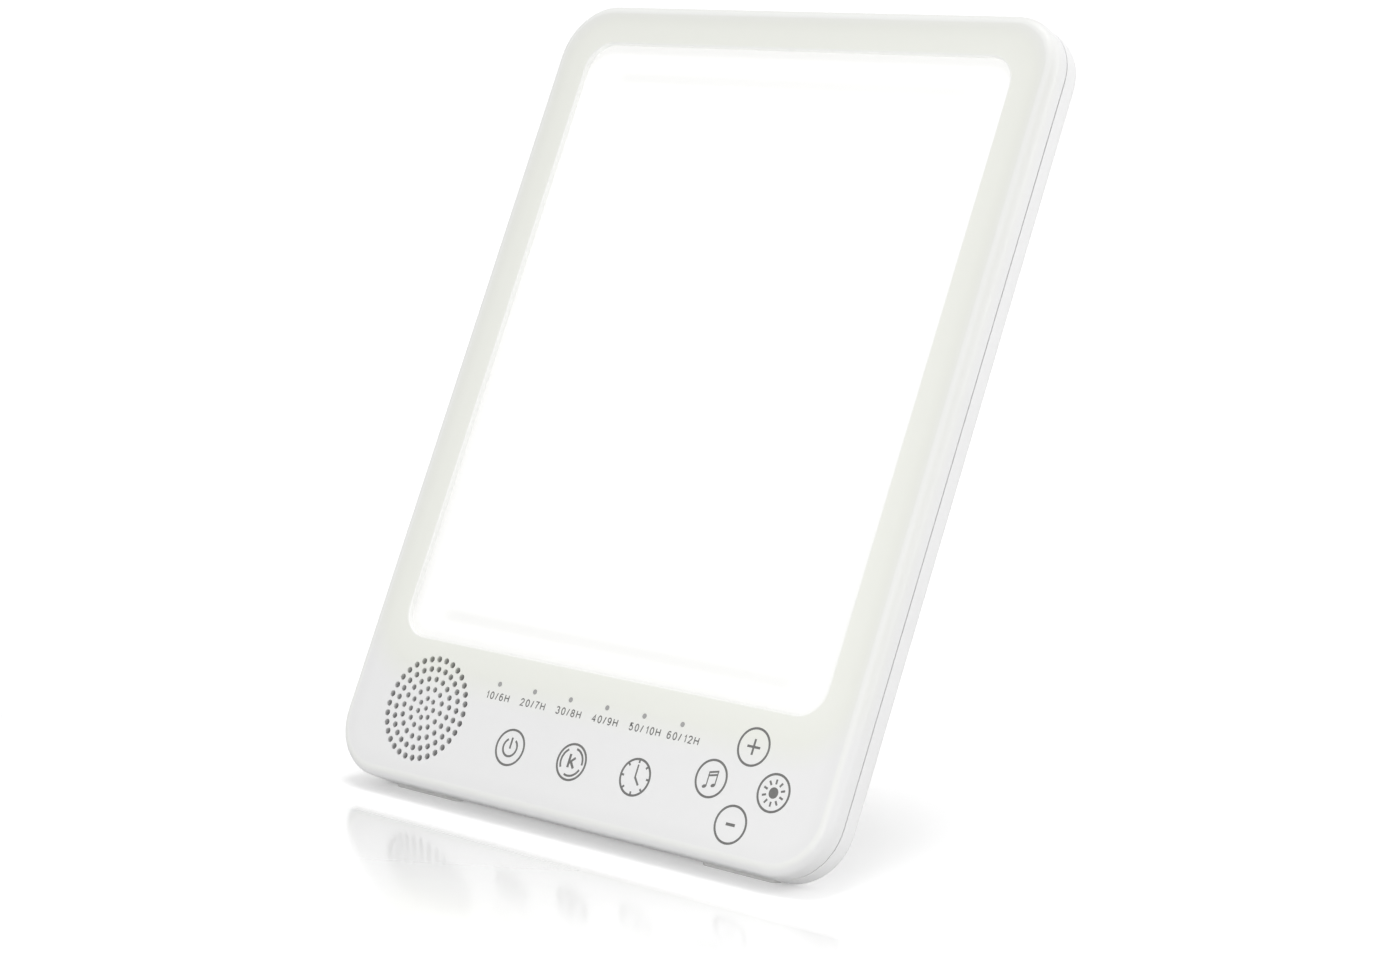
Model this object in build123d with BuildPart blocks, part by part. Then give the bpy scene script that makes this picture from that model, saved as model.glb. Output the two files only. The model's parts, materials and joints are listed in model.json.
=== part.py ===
from build123d import *
import os
from math import ceil, cos, pi, radians, sin

# Light therapy lamp: a slim tablet-style panel that leans back on its bottom rear edge
# and on a fold-out stand. Millimetres, +Z up, the lit window faces -Y. The origin is on
# the surface it stands on, under the middle of the whole lamp.
#
# Places on the panel are given as "across" (along X from the middle), "up" (along the
# leaning panel from its bottom edge) and "depth" (behind the front face).

os.makedirs("parts", exist_ok=True)

# ---- Case ----
panel_width = 192.0
panel_thickness = 15.4
lean_angle = 26.6
corner_radius = 18.0
front_edge_radius = 3.0
back_edge_radius = 4.1
side_wall = 2.4
face_wall = 1.8
back_wall = 2.0
front_shell_depth = 6.85
seam_width = 0.5
tongue_thickness = 1.1
tongue_length = 2.75
tongue_clearance = 0.1

# ---- Window, and the frame of case left round it ----
window_side_frame = 13.5
window_height = 199.5
window_bottom = 44.9
window_top_frame = 13.6
window_corner_radius = 9.0
window_rim_radius = 0.4

# ---- Light stack, from the window backwards ----
diffuser_thickness = 2.0
film_thickness = 0.3
guide_thickness = 3.0
reflector_thickness = 0.25
plate_thickness = 1.0
window_overlap = 2.5
guide_inset = 1.0
guide_end_inset = 0.5
stack_corner_radius = 3.0
rib_thickness = 1.2
rib_length = 14.0
rib_clearance = 0.3
rib_pitch = 60.0
rib_acrosses = (-25.0, 40.0)

# ---- Edge lights ----
led_gap = 0.2
led_height = 0.8
led_width = 1.4
led_length = 3.0
led_pitch = 6.0
led_end_margin = 6.0
led_board_thickness = 1.0
led_board_inset = 0.2
led_board_end_gap = 1.6

# ---- Carrier plate posts and screws ----
plate_post_radius = 2.0
plate_post_wall_gap = 1.3
plate_post_end_inset = 15.0
plate_tab_length = 7.0
plate_tab_margin = 0.3

# ---- Small screws: shaft radius, head radius and head height ----
small_shaft_radius = 0.8
small_head_radius = 1.8
small_head_height = 1.2
small_screw_grip = 2.2
small_hole_clearance = 0.3
thread_clearance = 0.05
drive_radius = 0.7
drive_depth = 0.6

# ---- Case screws ----
case_shaft_radius = 1.2
case_head_radius = 2.2
case_head_height = 1.5
case_screw_length = 8.0
case_boss_radius = 2.6
case_pocket_radius = 2.45
case_pocket_depth = 1.9
case_pocket_wall = 1.2
case_seat_thickness = 1.5
top_screw_inset = 6.7
top_screw_pitch = 60.0
bottom_screw_side_inset = 11.4
bottom_screw_up = 11.0

# ---- Side snap latches ----
latch_length = 8.0
latch_height = 1.0
latch_reach = 0.4
latch_clearance = 0.15
latch_pitch = 55.0

# ---- Speaker and its grille ----
speaker_side_inset = 33.4
speaker_up = 23.4
grille_rings = 5
grille_pitch = 3.115
grille_inner_hole = 0.8
grille_outer_hole = 1.0
grille_turns = (-3.0, -5.0, -8.0, -8.0, 3.0)
speaker_radius = 18.0
cloth_thickness = 0.25
cloth_margin = 0.5
gasket_thickness = 0.8
gasket_width = 2.0
basket_flange_thickness = 0.8
basket_wall = 0.8
basket_body_radius = 15.4
basket_depth = 4.6
basket_window_width = 9.0
basket_window_height = 1.8
magnet_radius = 10.0
magnet_thickness = 2.4
yoke_thickness = 1.2
pole_radius = 4.2
coil_thickness = 0.4
coil_gap = 0.3
cone_thickness = 0.35
cone_radius = 12.6
cone_slope = 2.2
surround_height = 0.9
surround_thickness = 0.3
terminal_wide = 4.0
terminal_tall = 6.0
terminal_thickness = 1.0
terminal_offset = (9.8, -9.4)
speaker_post_offset = 14.0
speaker_post_radius = 1.6
speaker_head_radius = 2.4

# ---- Touch keys: place of each ring centre ----
key_row_up = 17.75
key_row_across = (-24.9, 0.0, 24.9)
key_cluster_side_inset = 32.9
key_cluster_up = 22.6
key_cluster_arm = 11.4
touch_pad_radius = 4.5
touch_pad_thickness = 1.6

# ---- Indicators ----
indicator_count = 6
indicator_pitch = 14.49
indicator_up = 35.5
indicator_radius = 0.74
indicator_clearance = 0.05
pipe_bar_thickness = 0.8
pipe_bar_height = 3.0
pipe_bar_end = 2.0
indicator_led_size = 1.6

# ---- Touch board ----
touch_board_thickness = 1.2
touch_board_speaker_gap = 3.1
touch_board_past_cluster = 17.5
touch_board_low = 6.0
touch_board_high = 40.2
board_corner_radius = 2.0
touch_post_radius = 2.25
touch_post_left_inset = 4.0
touch_post_left_ups = (10.0, 27.0)
touch_post_middle = (-19.6, -13.1)
touch_post_corner_inset = (3.6, 3.7)

# ---- Main board, on standoffs inside the rear cover, beside the stand's recess ----
main_board_thickness = 1.2
main_board_recess_gap = 1.0
main_board_width = 40.0
main_board_low = 6.6
main_board_high = 40.4
standoff_height = 1.2
standoff_radius = 2.2
standoff_inset = 2.8
standoff_hole_depth = 2.2

# ---- Parts on the boards; acrosses on the main board run from its left edge, and those
# below zero from its right edge ----
chip_height = 1.6
chip_lead_width = 0.4
chip_lead_reach = 1.0
chip_lead_height = 0.5
chip_lead_pitch = 1.27
touch_chip_place = (8.0, 26.0)
touch_chip_size = (12.8, 7.5)
power_chip_place = (13.5, 23.5)
power_chip_size = (9.0, 4.5)
sound_chip_place = (15.2, 14.5)
sound_chip_size = (6.5, 4.0)
link_place = (9.2, 31.5)
link_length = 16.0
link_width = 4.0
link_socket_height = 3.0
coil_case_size = 8.0
coil_case_height = 3.6
coil_case_radius = 1.0
coil_places = ((-13.3, 13.0), (-13.3, 22.5))
capacitor_radius = 2.0
capacitor_length = 6.5
capacitor_places = ((-14.8, 32.0), (-14.8, 36.6))
resistor_length = 2.0
resistor_width = 1.25
resistor_height = 0.6
resistor_pitch = 2.4
resistor_count = 4
resistor_place = (-5.6, 15.0)

# ---- Power inlet: barrel socket for a 5.5 mm plug ----
inlet_board_gap = 1.5
inlet_up = 27.0
inlet_body_size = 9.0
inlet_body_length = 7.5
inlet_nose_radius = 3.9
inlet_nose_recess = 0.2
inlet_nose_clearance = 0.1
inlet_bore_radius = 2.85
inlet_bore_depth = 8.3
inlet_pin_radius = 1.0
inlet_pin_recess = 0.6
inlet_cradle_wall = 1.2
inlet_cradle_depth = 4.0
inlet_cradle_clearance = 0.15
inlet_tab_width = 2.0
inlet_tab_length = 0.8

# ---- Leads inside the case and the headers they plug into ----
wire_radius = 0.5
wire_bend = 1.2
header_length = 5.0
header_width = 4.0
led_lead_depths = (5.6, 6.75)
led_lead_up = 41.3
led_header_places = ((10.2, 37.0), (-7.3, 37.0))
led_header_front = 5.0
speaker_header_place = (4.2, 14.0)
speaker_header_front = 7.2
speaker_lead_depth = 8.77
speaker_lead_pitch = 1.6
inlet_header_place = (-2.8, 27.0)
inlet_header_front = 6.4
inlet_lead_depth = 7.7
inlet_lead_pitch = 3.0

# ---- Rubber feet under the bottom rear edge ----
foot_length = 28.0
foot_width = 4.4
foot_proud = 0.4
foot_socket = 1.0
foot_side_inset = 34.0
foot_clearance = 0.05
foot_backing = 3.4
foot_backing_margin = 2.0

# ---- Fold-out stand ----
hinge_up = 112.0
stand_splay = 19.4
leg_width = 56.0
leg_thickness = 4.0
leg_flush_gap = 0.1
leg_floor_gap = 0.2
leg_side_gap = 0.5
leg_end_gap = 0.6
leg_heel = 2.8
leg_heel_facet = 0.17
heel_flat_height = 16.0
stop_gap = 0.03
recess_wall = 1.6
heel_pocket_wall = 1.2
heel_pocket_below = 1.4
heel_sweep_gap = 0.45
leg_skin = 1.6
leg_rim = 3.0
leg_rib = 1.4
leg_rib_count = 3
leg_pocket_top = 10.0
leg_pocket_end = 12.0
foot_block = 2.0
foot_tongue_thickness = 1.4
foot_tongue_length = 3.0
foot_tongue_clearance = 0.02
leg_corner_radius = 1.5
foot_end_inset = 1.0
pin_radius = 1.0
pin_clearance = 0.05
pin_end_reach = 9.5
washer_thickness = 0.45
washer_radius = 1.85
cap_width = 13.0
cap_height = 13.0
cap_clearance = 0.1
cap_pad_margin = 1.6
cap_pad_depth = 2.7
cap_screw_offset = 4.2
cap_screw_across = 6.5
cap_head_radius = 1.6
cap_head_height = 0.8
cap_head_clearance = 0.15
cap_screw_length = 2.0
notch_width = 11.0
notch_height = 18.0
notch_up = 19.0
notch_radius = 3.0

# ---- Openings and marks on the back ----
vent_count = 11
vent_pitch = 9.0
vent_width = 2.2
vent_height = 16.0
vent_top_inset = 32.0
vent_row_pitch = 22.0
label_width = 74.0
label_height = 34.0
label_depth = 0.3
label_radius = 2.5

# ---- Overall sizes that follow ----
window_width = panel_width - 2 * window_side_frame
window_top = window_bottom + window_height
panel_height = window_top + window_top_frame

# ---- The leaning panel's own plane ----
lean_sin = sin(radians(lean_angle))
lean_cos = cos(radians(lean_angle))
base_height = (foot_proud + back_edge_radius
               + (panel_thickness - back_edge_radius) * lean_sin - back_edge_radius * lean_cos)
front_reach = front_edge_radius * (lean_sin + lean_cos - 1)
rear_reach = ((panel_height - back_edge_radius) * lean_sin
              + (panel_thickness - back_edge_radius) * lean_cos + back_edge_radius)
panel_base_y = -(front_reach + rear_reach) / 2
face = Plane(origin=(0, panel_base_y, base_height), x_dir=(1, 0, 0),
             z_dir=(0, -lean_cos, lean_sin))
outward = Axis(origin=face.origin, direction=face.z_dir)


def at_depth(depth):
    """The plane parallel to the front face, that far behind it."""
    return face.offset(-depth)


def panel_point(across, up, depth):
    """A point given by its place on the panel."""
    return face.from_local_coords(Vector(across, up, -depth))


def block(across, up, wide, tall, near, far, radius=0.0, mode=Mode.ADD):
    """A block with its sides along the panel, between two depths."""
    with BuildSketch(at_depth(near)) as outline:
        with Locations((across, up)):
            if radius > 0:
                RectangleRounded(wide, tall, radius)
            else:
                Rectangle(wide, tall)
    extrude(outline.sketch, amount=near - far, mode=mode)


def span(left, right, low, high, near, far, radius=0.0, mode=Mode.ADD):
    """A block given by its four sides on the panel."""
    block((left + right) / 2, (low + high) / 2, right - left, high - low, near, far, radius, mode)


def disc(places, radius, near, far, mode=Mode.ADD):
    """Round pieces or holes square to the panel, one at each place."""
    with BuildSketch(at_depth(near)) as outline:
        with Locations(*places):
            Circle(radius)
    extrude(outline.sketch, amount=near - far, mode=mode)


def ring(place, outer, inner, near, far):
    """A flat ring parallel to the panel."""
    with BuildSketch(at_depth(near)) as outline:
        with Locations(place):
            Circle(outer)
            Circle(inner, mode=Mode.SUBTRACT)
    extrude(outline.sketch, amount=near - far)


def screws(places, shaft_radius, head_radius, head_height, seat, length, heading):
    """Pan-head screws with a round driver recess; heading 1 drives forwards, -1 backwards."""
    disc(places, head_radius, seat, seat + heading * head_height)
    disc(places, shaft_radius, seat, seat - heading * length)
    top = seat + heading * head_height
    disc(places, drive_radius, top, top - heading * drive_depth, mode=Mode.SUBTRACT)


def keep(piece, label):
    """Name a finished piece and write it."""
    piece.part.label = label
    export_step(piece.part, f"parts/{label}.step")


# ---- Depths behind the front face ----
diffuser_front = face_wall
film_front = diffuser_front + diffuser_thickness
guide_front = film_front + film_thickness
reflector_front = guide_front + guide_thickness
plate_front = reflector_front + reflector_thickness
plate_rear = plate_front + plate_thickness
cover_inside = panel_thickness - back_wall
cover_parting = front_shell_depth + seam_width
tongue_front = cover_parting - tongue_length
case_seat = cover_inside - case_seat_thickness
case_head_seat = panel_thickness - case_pocket_depth
pad_front = face_wall
touch_front = pad_front + touch_pad_thickness
touch_rear = touch_front + touch_board_thickness
main_rear = cover_inside - standoff_height
main_front = main_rear - main_board_thickness

# ---- Outlines ----
inner_width = panel_width - 2 * side_wall
inner_height = panel_height - 2 * side_wall
inner_radius = corner_radius - side_wall
panel_middle = panel_height / 2
window_middle = (window_bottom + window_top) / 2
diffuser_side = window_width / 2 + window_overlap
diffuser_low = window_bottom - window_overlap
diffuser_high = window_top + window_overlap
guide_side = diffuser_side - guide_inset
led_face = guide_side + led_gap
led_board_face = led_face + led_height
flange_face = led_board_face + led_board_thickness
flange_outside = flange_face + plate_thickness
plate_post_across = inner_width / 2 - plate_post_wall_gap - plate_post_radius
plate_post_reach = window_height / 2 - plate_post_end_inset
plate_post_ups = [window_middle + n * plate_post_reach for n in (-1, 0, 1)]
plate_posts = [(side * plate_post_across, up) for up in plate_post_ups for side in (-1, 1)]
rib_ups = [window_middle + n * rib_pitch for n in (-1, 0, 1)]
latch_ups = [panel_middle + n * latch_pitch for n in (-1, 0, 1)]
vent_rows = [panel_height - vent_top_inset - n * vent_row_pitch for n in (0, 1)]
case_screws_top = [(n * top_screw_pitch, panel_height - top_screw_inset) for n in (-1, 0, 1)]
case_screws_low = [(side * (panel_width / 2 - bottom_screw_side_inset), bottom_screw_up)
                   for side in (-1, 1)]
case_screw_places = case_screws_top + case_screws_low
speaker_across = speaker_side_inset - panel_width / 2
speaker_place = (speaker_across, speaker_up)
speaker_posts = [(speaker_across + i * speaker_post_offset, speaker_up + j * speaker_post_offset)
                 for i in (-1, 1) for j in (-1, 1)]
key_cluster_across = panel_width / 2 - key_cluster_side_inset
key_places = [(across, key_row_up) for across in key_row_across]
key_places += [(key_cluster_across + i * key_cluster_arm, key_cluster_up + j * key_cluster_arm)
               for i, j in ((-1, 0), (1, 0), (0, 1), (0, -1))]
indicator_acrosses = [(n - (indicator_count - 1) / 2) * indicator_pitch
                      for n in range(indicator_count)]
indicator_places = [(across, indicator_up) for across in indicator_acrosses]
touch_board_left = speaker_across + speaker_radius + touch_board_speaker_gap
touch_board_right = key_cluster_across + touch_board_past_cluster
touch_post_places = [(touch_board_left + touch_post_left_inset, up) for up in touch_post_left_ups]
touch_post_places.append((key_cluster_across + touch_post_middle[0],
                          key_cluster_up + touch_post_middle[1]))
touch_post_places.append((touch_board_right - touch_post_corner_inset[0],
                          touch_board_high - touch_post_corner_inset[1]))

# ---- Stand geometry, worked out so that the open foot rests at Z = 0 ----
hinge_depth = panel_thickness - leg_flush_gap - leg_thickness / 2
hinge_centre = panel_point(0, hinge_up, hinge_depth)
splay_sin = sin(radians(stand_splay))
splay_cos = cos(radians(stand_splay))
leg_length = (hinge_centre.Z - leg_thickness / 2) / splay_cos
open_angle = lean_angle + stand_splay
heel_drop = (leg_heel * sin(radians(open_angle))
             + leg_thickness / 2 * cos(radians(open_angle)) - leg_heel_facet)
stop_depth = hinge_depth - heel_drop - stop_gap
recess_floor = hinge_depth - leg_thickness / 2 - leg_floor_gap
recess_side = leg_width / 2 + leg_side_gap
recess_low = hinge_up - leg_length - leg_thickness / 2 - leg_end_gap
heel_sweep = (leg_heel ** 2 + (leg_thickness / 2) ** 2) ** 0.5
recess_high = hinge_up + heel_sweep + heel_sweep_gap
heel_pocket_low = hinge_up - heel_pocket_below
leg_side = Plane(origin=hinge_centre, x_dir=(0, -splay_sin, splay_cos), z_dir=(1, 0, 0))
leg_back = Plane(origin=hinge_centre, x_dir=(1, 0, 0), z_dir=(0, -splay_cos, -splay_sin))
hinge_plane = Plane(origin=hinge_centre, x_dir=(0, 1, 0), z_dir=(1, 0, 0))
pin_reach = recess_side + pin_end_reach
cap_screw_places = [(side * (recess_side + cap_screw_across), hinge_up + j * cap_screw_offset)
                    for side in (-1, 1) for j in (-1, 1)]

# ---- Main board and power inlet, side by side between the recess and the case wall ----
main_board_left = recess_side + recess_wall + main_board_recess_gap
main_board_right = main_board_left + main_board_width
standoff_places = [(across, up)
                   for across in (main_board_left + standoff_inset, main_board_right - standoff_inset)
                   for up in (main_board_low + standoff_inset, main_board_high - standoff_inset)]
cradle_size = inlet_body_size + 2 * inlet_cradle_clearance
cradle_outside = cradle_size + 2 * inlet_cradle_wall
inlet_across = main_board_right + inlet_board_gap + cradle_outside / 2
inlet_place = (inlet_across, inlet_up)


def on_main_board(place):
    """A place on the main board, measured from its left edge or, below zero, from its right."""
    edge = main_board_left if place[0] > 0 else main_board_right
    return (edge + place[0], place[1])


# ---- Bare label recess, midway between the stand's recess and the vents ----
label_up = (recess_high + vent_rows[-1] - vent_height / 2) / 2

# ---- Rubber feet: flat pads on the lowest line of the bottom rear edge ----
foot_across = panel_width / 2 - foot_side_inset
foot_y = (panel_base_y + back_edge_radius * (1 - lean_cos) * lean_sin
          + (panel_thickness - back_edge_radius * (1 - lean_sin)) * lean_cos)
foot_height = foot_proud + foot_socket


def foot_pads(grow, mode=Mode.ADD):
    """The two feet, or, grown by their clearance, their pockets."""
    with BuildSketch(Plane.XY) as outline:
        with Locations((-foot_across, foot_y), (foot_across, foot_y)):
            SlotOverall(foot_length + 2 * grow, foot_width + 2 * grow)
    extrude(outline.sketch, amount=foot_height, mode=mode)


# ======================= Front shell =======================
with BuildPart() as front_shell:
    with BuildSketch(face):
        with Locations((0, panel_middle)):
            RectangleRounded(panel_width, panel_height, corner_radius)
    extrude(amount=-front_shell_depth)
    fillet(front_shell.faces().sort_by(outward)[-1].edges(), radius=front_edge_radius)
    block(0, panel_middle, inner_width, inner_height, face_wall, front_shell_depth, inner_radius,
          mode=Mode.SUBTRACT)
    # rebate that takes the rear cover's tongue
    rebate_grow = 2 * (tongue_thickness + tongue_clearance)
    block(0, panel_middle, inner_width + rebate_grow, inner_height + rebate_grow, tongue_front,
          front_shell_depth, inner_radius + rebate_grow / 2, mode=Mode.SUBTRACT)
    for up in latch_ups:
        for side in (-1, 1):
            block(side * (inner_width / 2 + tongue_thickness + latch_reach / 2), up,
                  latch_reach + 2 * latch_clearance, latch_length + 2 * latch_clearance,
                  tongue_front + latch_height - latch_clearance,
                  tongue_front + 2 * latch_height + latch_clearance, mode=Mode.SUBTRACT)
    # window with a rounded rim
    block(0, window_middle, window_width, window_height, 0, face_wall, window_corner_radius,
          mode=Mode.SUBTRACT)
    front_face = front_shell.faces().sort_by(outward)[-1]
    fillet(front_face.inner_wires()[0].edges(), radius=window_rim_radius)
    # speaker grille: a centre hole and rings of holes that widen outwards
    with BuildSketch(face):
        with Locations(speaker_place):
            Circle(grille_inner_hole)
            for n in range(1, grille_rings + 1):
                hole = grille_inner_hole + (grille_outer_hole - grille_inner_hole) * n / grille_rings
                with PolarLocations(n * grille_pitch, ceil(2 * pi * n), grille_turns[n - 1]):
                    Circle(hole)
    extrude(amount=-face_wall, mode=Mode.SUBTRACT)
    disc(indicator_places, indicator_radius + indicator_clearance, 0, face_wall, Mode.SUBTRACT)
    # screw bosses and posts
    disc(case_screw_places, case_boss_radius, face_wall, case_seat)
    disc(case_screw_places, case_shaft_radius + thread_clearance,
         case_head_seat - case_screw_length - thread_clearance, case_seat, Mode.SUBTRACT)
    disc(plate_posts, plate_post_radius, face_wall, plate_front)
    disc(plate_posts, small_shaft_radius + thread_clearance,
         plate_front - small_screw_grip - thread_clearance, plate_front, Mode.SUBTRACT)
    disc(touch_post_places, touch_post_radius, face_wall, touch_front)
    disc(touch_post_places, small_shaft_radius + thread_clearance,
         touch_front - small_screw_grip - thread_clearance, touch_front, Mode.SUBTRACT)
    speaker_post_top = face_wall + cloth_thickness + gasket_thickness + basket_flange_thickness
    disc(speaker_posts, speaker_post_radius, face_wall, speaker_post_top)
    disc(speaker_posts, small_shaft_radius + thread_clearance,
         speaker_post_top - small_screw_grip - thread_clearance, speaker_post_top, Mode.SUBTRACT)
    # ribs that centre the diffuser
    rib_offset = rib_clearance + rib_thickness / 2
    for up in rib_ups:
        for side in (-1, 1):
            block(side * (diffuser_side + rib_offset), up, rib_thickness, rib_length, face_wall,
                  film_front)
    for across in rib_acrosses:
        for up in (diffuser_low - rib_offset, diffuser_high + rib_offset):
            block(across, up, rib_length, rib_thickness, face_wall, film_front)
keep(front_shell, "front_shell")

# ======================= Rear cover =======================
with BuildPart() as rear_cover:
    with BuildSketch(at_depth(cover_parting)):
        with Locations((0, panel_middle)):
            RectangleRounded(panel_width, panel_height, corner_radius)
    extrude(amount=cover_parting - panel_thickness)
    fillet(rear_cover.faces().sort_by(outward)[0].edges(), radius=back_edge_radius)
    block(0, panel_middle, inner_width, inner_height, cover_parting, cover_inside, inner_radius,
          mode=Mode.SUBTRACT)
    # tongue that slides into the front shell's rebate, with its snap wedges
    with BuildSketch(at_depth(tongue_front)):
        with Locations((0, panel_middle)):
            RectangleRounded(inner_width + 2 * tongue_thickness, inner_height + 2 * tongue_thickness,
                             inner_radius + tongue_thickness)
            RectangleRounded(inner_width, inner_height, inner_radius, mode=Mode.SUBTRACT)
    extrude(amount=-tongue_length)
    for up in latch_ups:
        for side in (-1, 1):
            block(side * (inner_width / 2 + tongue_thickness + latch_reach / 2), up, latch_reach,
                  latch_length, tongue_front + latch_height, tongue_front + 2 * latch_height)
    # walls round the stand's recess, its heel pocket and the finger notch
    span(-recess_side - recess_wall, recess_side + recess_wall, recess_low - recess_wall,
         recess_high + recess_wall, recess_floor - recess_wall, cover_inside)
    span(-recess_side - recess_wall, recess_side + recess_wall, heel_pocket_low - heel_pocket_wall,
         recess_high + recess_wall, stop_depth - heel_pocket_wall, recess_floor)
    block(-recess_side - notch_width / 2, notch_up, notch_width + 2 * recess_wall,
          notch_height + 2 * recess_wall, recess_floor - recess_wall, cover_inside)
    for side in (-1, 1):
        block(side * (recess_side + cap_width / 2), hinge_up, cap_width + 2 * cap_pad_margin,
              cap_height + 2 * cap_pad_margin, hinge_depth - cap_pad_depth, cover_inside)
    span(-recess_side, recess_side, recess_low, recess_high, recess_floor, panel_thickness,
         mode=Mode.SUBTRACT)
    span(-recess_side, recess_side, heel_pocket_low, recess_high, stop_depth, recess_floor,
         mode=Mode.SUBTRACT)
    span(-recess_side - notch_width, -recess_side + notch_radius, notch_up - notch_height / 2,
         notch_up + notch_height / 2, recess_floor, panel_thickness, notch_radius,
         mode=Mode.SUBTRACT)
    # pockets for the hinge caps, the pin's groove and the cap screws' holes
    for side in (-1, 1):
        block(side * (recess_side + cap_width / 2), hinge_up, cap_width, cap_height, hinge_depth,
              panel_thickness, mode=Mode.SUBTRACT)
    with BuildSketch(hinge_plane):
        Circle(pin_radius + pin_clearance)
    extrude(amount=pin_reach + pin_clearance, both=True, mode=Mode.SUBTRACT)
    disc(cap_screw_places, small_shaft_radius + thread_clearance,
         hinge_depth - cap_screw_length - thread_clearance, hinge_depth, Mode.SUBTRACT)
    # case screw seats
    disc(case_screw_places, case_pocket_radius + case_pocket_wall, case_seat, cover_inside)
    disc(case_screw_places, case_shaft_radius + small_hole_clearance, case_seat, panel_thickness,
         Mode.SUBTRACT)
    disc(case_screw_places, case_pocket_radius, case_head_seat, panel_thickness, Mode.SUBTRACT)
    # standoffs for the main board
    disc(standoff_places, standoff_radius, main_rear, cover_inside)
    disc(standoff_places, small_shaft_radius + thread_clearance, main_rear,
         main_rear + standoff_hole_depth, Mode.SUBTRACT)
    # cradle and nose hole for the power inlet
    block(inlet_across, inlet_up, cradle_outside, cradle_outside,
          cover_inside - inlet_cradle_depth, cover_inside)
    block(inlet_across, inlet_up, cradle_size, cradle_size, cover_inside - inlet_cradle_depth,
          cover_inside, mode=Mode.SUBTRACT)
    disc([inlet_place], inlet_nose_radius + inlet_nose_clearance, cover_inside, panel_thickness,
         Mode.SUBTRACT)
    # backing behind the rubber feet, then their pockets
    for side in (-1, 1):
        block(side * foot_across, side_wall + foot_backing / 2,
              foot_length + 2 * foot_backing_margin, foot_backing, cover_inside - foot_backing,
              cover_inside)
    foot_pads(foot_clearance, Mode.SUBTRACT)
    # ventilation slots and the bare label recess
    with BuildSketch(at_depth(cover_inside)):
        for up in vent_rows:
            with Locations((0, up)):
                with GridLocations(vent_pitch, vent_height, vent_count, 1):
                    SlotOverall(vent_height, vent_width, rotation=90)
    extrude(amount=-back_wall, mode=Mode.SUBTRACT)
    block(0, label_up, label_width, label_height, panel_thickness - label_depth, panel_thickness,
          label_radius, mode=Mode.SUBTRACT)
keep(rear_cover, "rear_cover")

# ======================= Light stack =======================
with BuildPart() as diffuser_plate:
    span(-diffuser_side, diffuser_side, diffuser_low, diffuser_high, diffuser_front, film_front,
         stack_corner_radius)
keep(diffuser_plate, "diffuser_plate")

guide_low = diffuser_low + guide_end_inset
guide_high = diffuser_high - guide_end_inset
with BuildPart() as diffusing_film:
    span(-guide_side, guide_side, guide_low, guide_high, film_front, guide_front)
keep(diffusing_film, "diffusing_film")

with BuildPart() as light_guide:
    span(-guide_side, guide_side, guide_low, guide_high, guide_front, reflector_front)
keep(light_guide, "light_guide")

with BuildPart() as reflector_sheet:
    span(-guide_side, guide_side, guide_low, guide_high, reflector_front, plate_front)
keep(reflector_sheet, "reflector_sheet")

led_board_front = guide_front + led_board_inset
tab_end = plate_post_across + plate_post_radius + plate_tab_margin
with BuildPart() as back_plate:
    span(-flange_outside, flange_outside, diffuser_low, diffuser_high, plate_front, plate_rear)
    for side in (-1, 1):
        block(side * (flange_face + plate_thickness / 2), window_middle, plate_thickness,
              diffuser_high - diffuser_low, led_board_front, plate_front)
        for up in plate_post_ups:
            block(side * (flange_face + tab_end) / 2, up, tab_end - flange_face, plate_tab_length,
                  plate_front, plate_rear)
    disc(plate_posts, small_shaft_radius + small_hole_clearance, plate_front, plate_rear,
         Mode.SUBTRACT)
keep(back_plate, "back_plate")

led_board_low = diffuser_low + led_board_end_gap
led_board_high = diffuser_high - led_board_end_gap
led_centre_depth = (guide_front + reflector_front) / 2
led_run = led_board_high - led_board_low - 2 * led_end_margin
led_count = int(led_run // led_pitch) + 1
for side, name in ((-1, "left"), (1, "right")):
    with BuildPart() as led_board:
        block(side * (led_board_face + led_board_thickness / 2), window_middle, led_board_thickness,
              led_board_high - led_board_low, led_board_front, plate_front)
    keep(led_board, f"led_board_{name}")
    with BuildPart() as edge_leds:
        with BuildSketch(at_depth(led_centre_depth - led_width / 2)):
            with Locations((side * (led_face + led_height / 2), window_middle)):
                with GridLocations(led_height, led_pitch, 1, led_count):
                    Rectangle(led_height, led_length)
        extrude(amount=-led_width)
    keep(edge_leds, f"edge_leds_{name}")

with BuildPart() as plate_screws:
    screws(plate_posts, small_shaft_radius, small_head_radius, small_head_height, plate_rear,
           plate_thickness + small_screw_grip, 1)
keep(plate_screws, "plate_screws")

# ======================= Touch keys and indicators =======================
with BuildPart() as touch_pads:
    disc(key_places, touch_pad_radius, pad_front, touch_front)
keep(touch_pads, "touch_pads")

with BuildPart() as touch_board:
    span(touch_board_left, touch_board_right, touch_board_low, touch_board_high, touch_front,
         touch_rear, board_corner_radius)
    disc(touch_post_places, small_shaft_radius + small_hole_clearance, touch_front, touch_rear,
         Mode.SUBTRACT)
keep(touch_board, "touch_board")

with BuildPart() as touch_board_screws:
    screws(touch_post_places, small_shaft_radius, small_head_radius, small_head_height,
           touch_rear, touch_board_thickness + small_screw_grip, 1)
keep(touch_board_screws, "touch_board_screws")

pipe_bar_rear = face_wall + pipe_bar_thickness
with BuildPart() as indicator_pipes:
    block(0, indicator_up, (indicator_count - 1) * indicator_pitch + 2 * pipe_bar_end,
          pipe_bar_height, face_wall, pipe_bar_rear)
    disc(indicator_places, indicator_radius, 0, face_wall)
keep(indicator_pipes, "indicator_pipes")

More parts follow.
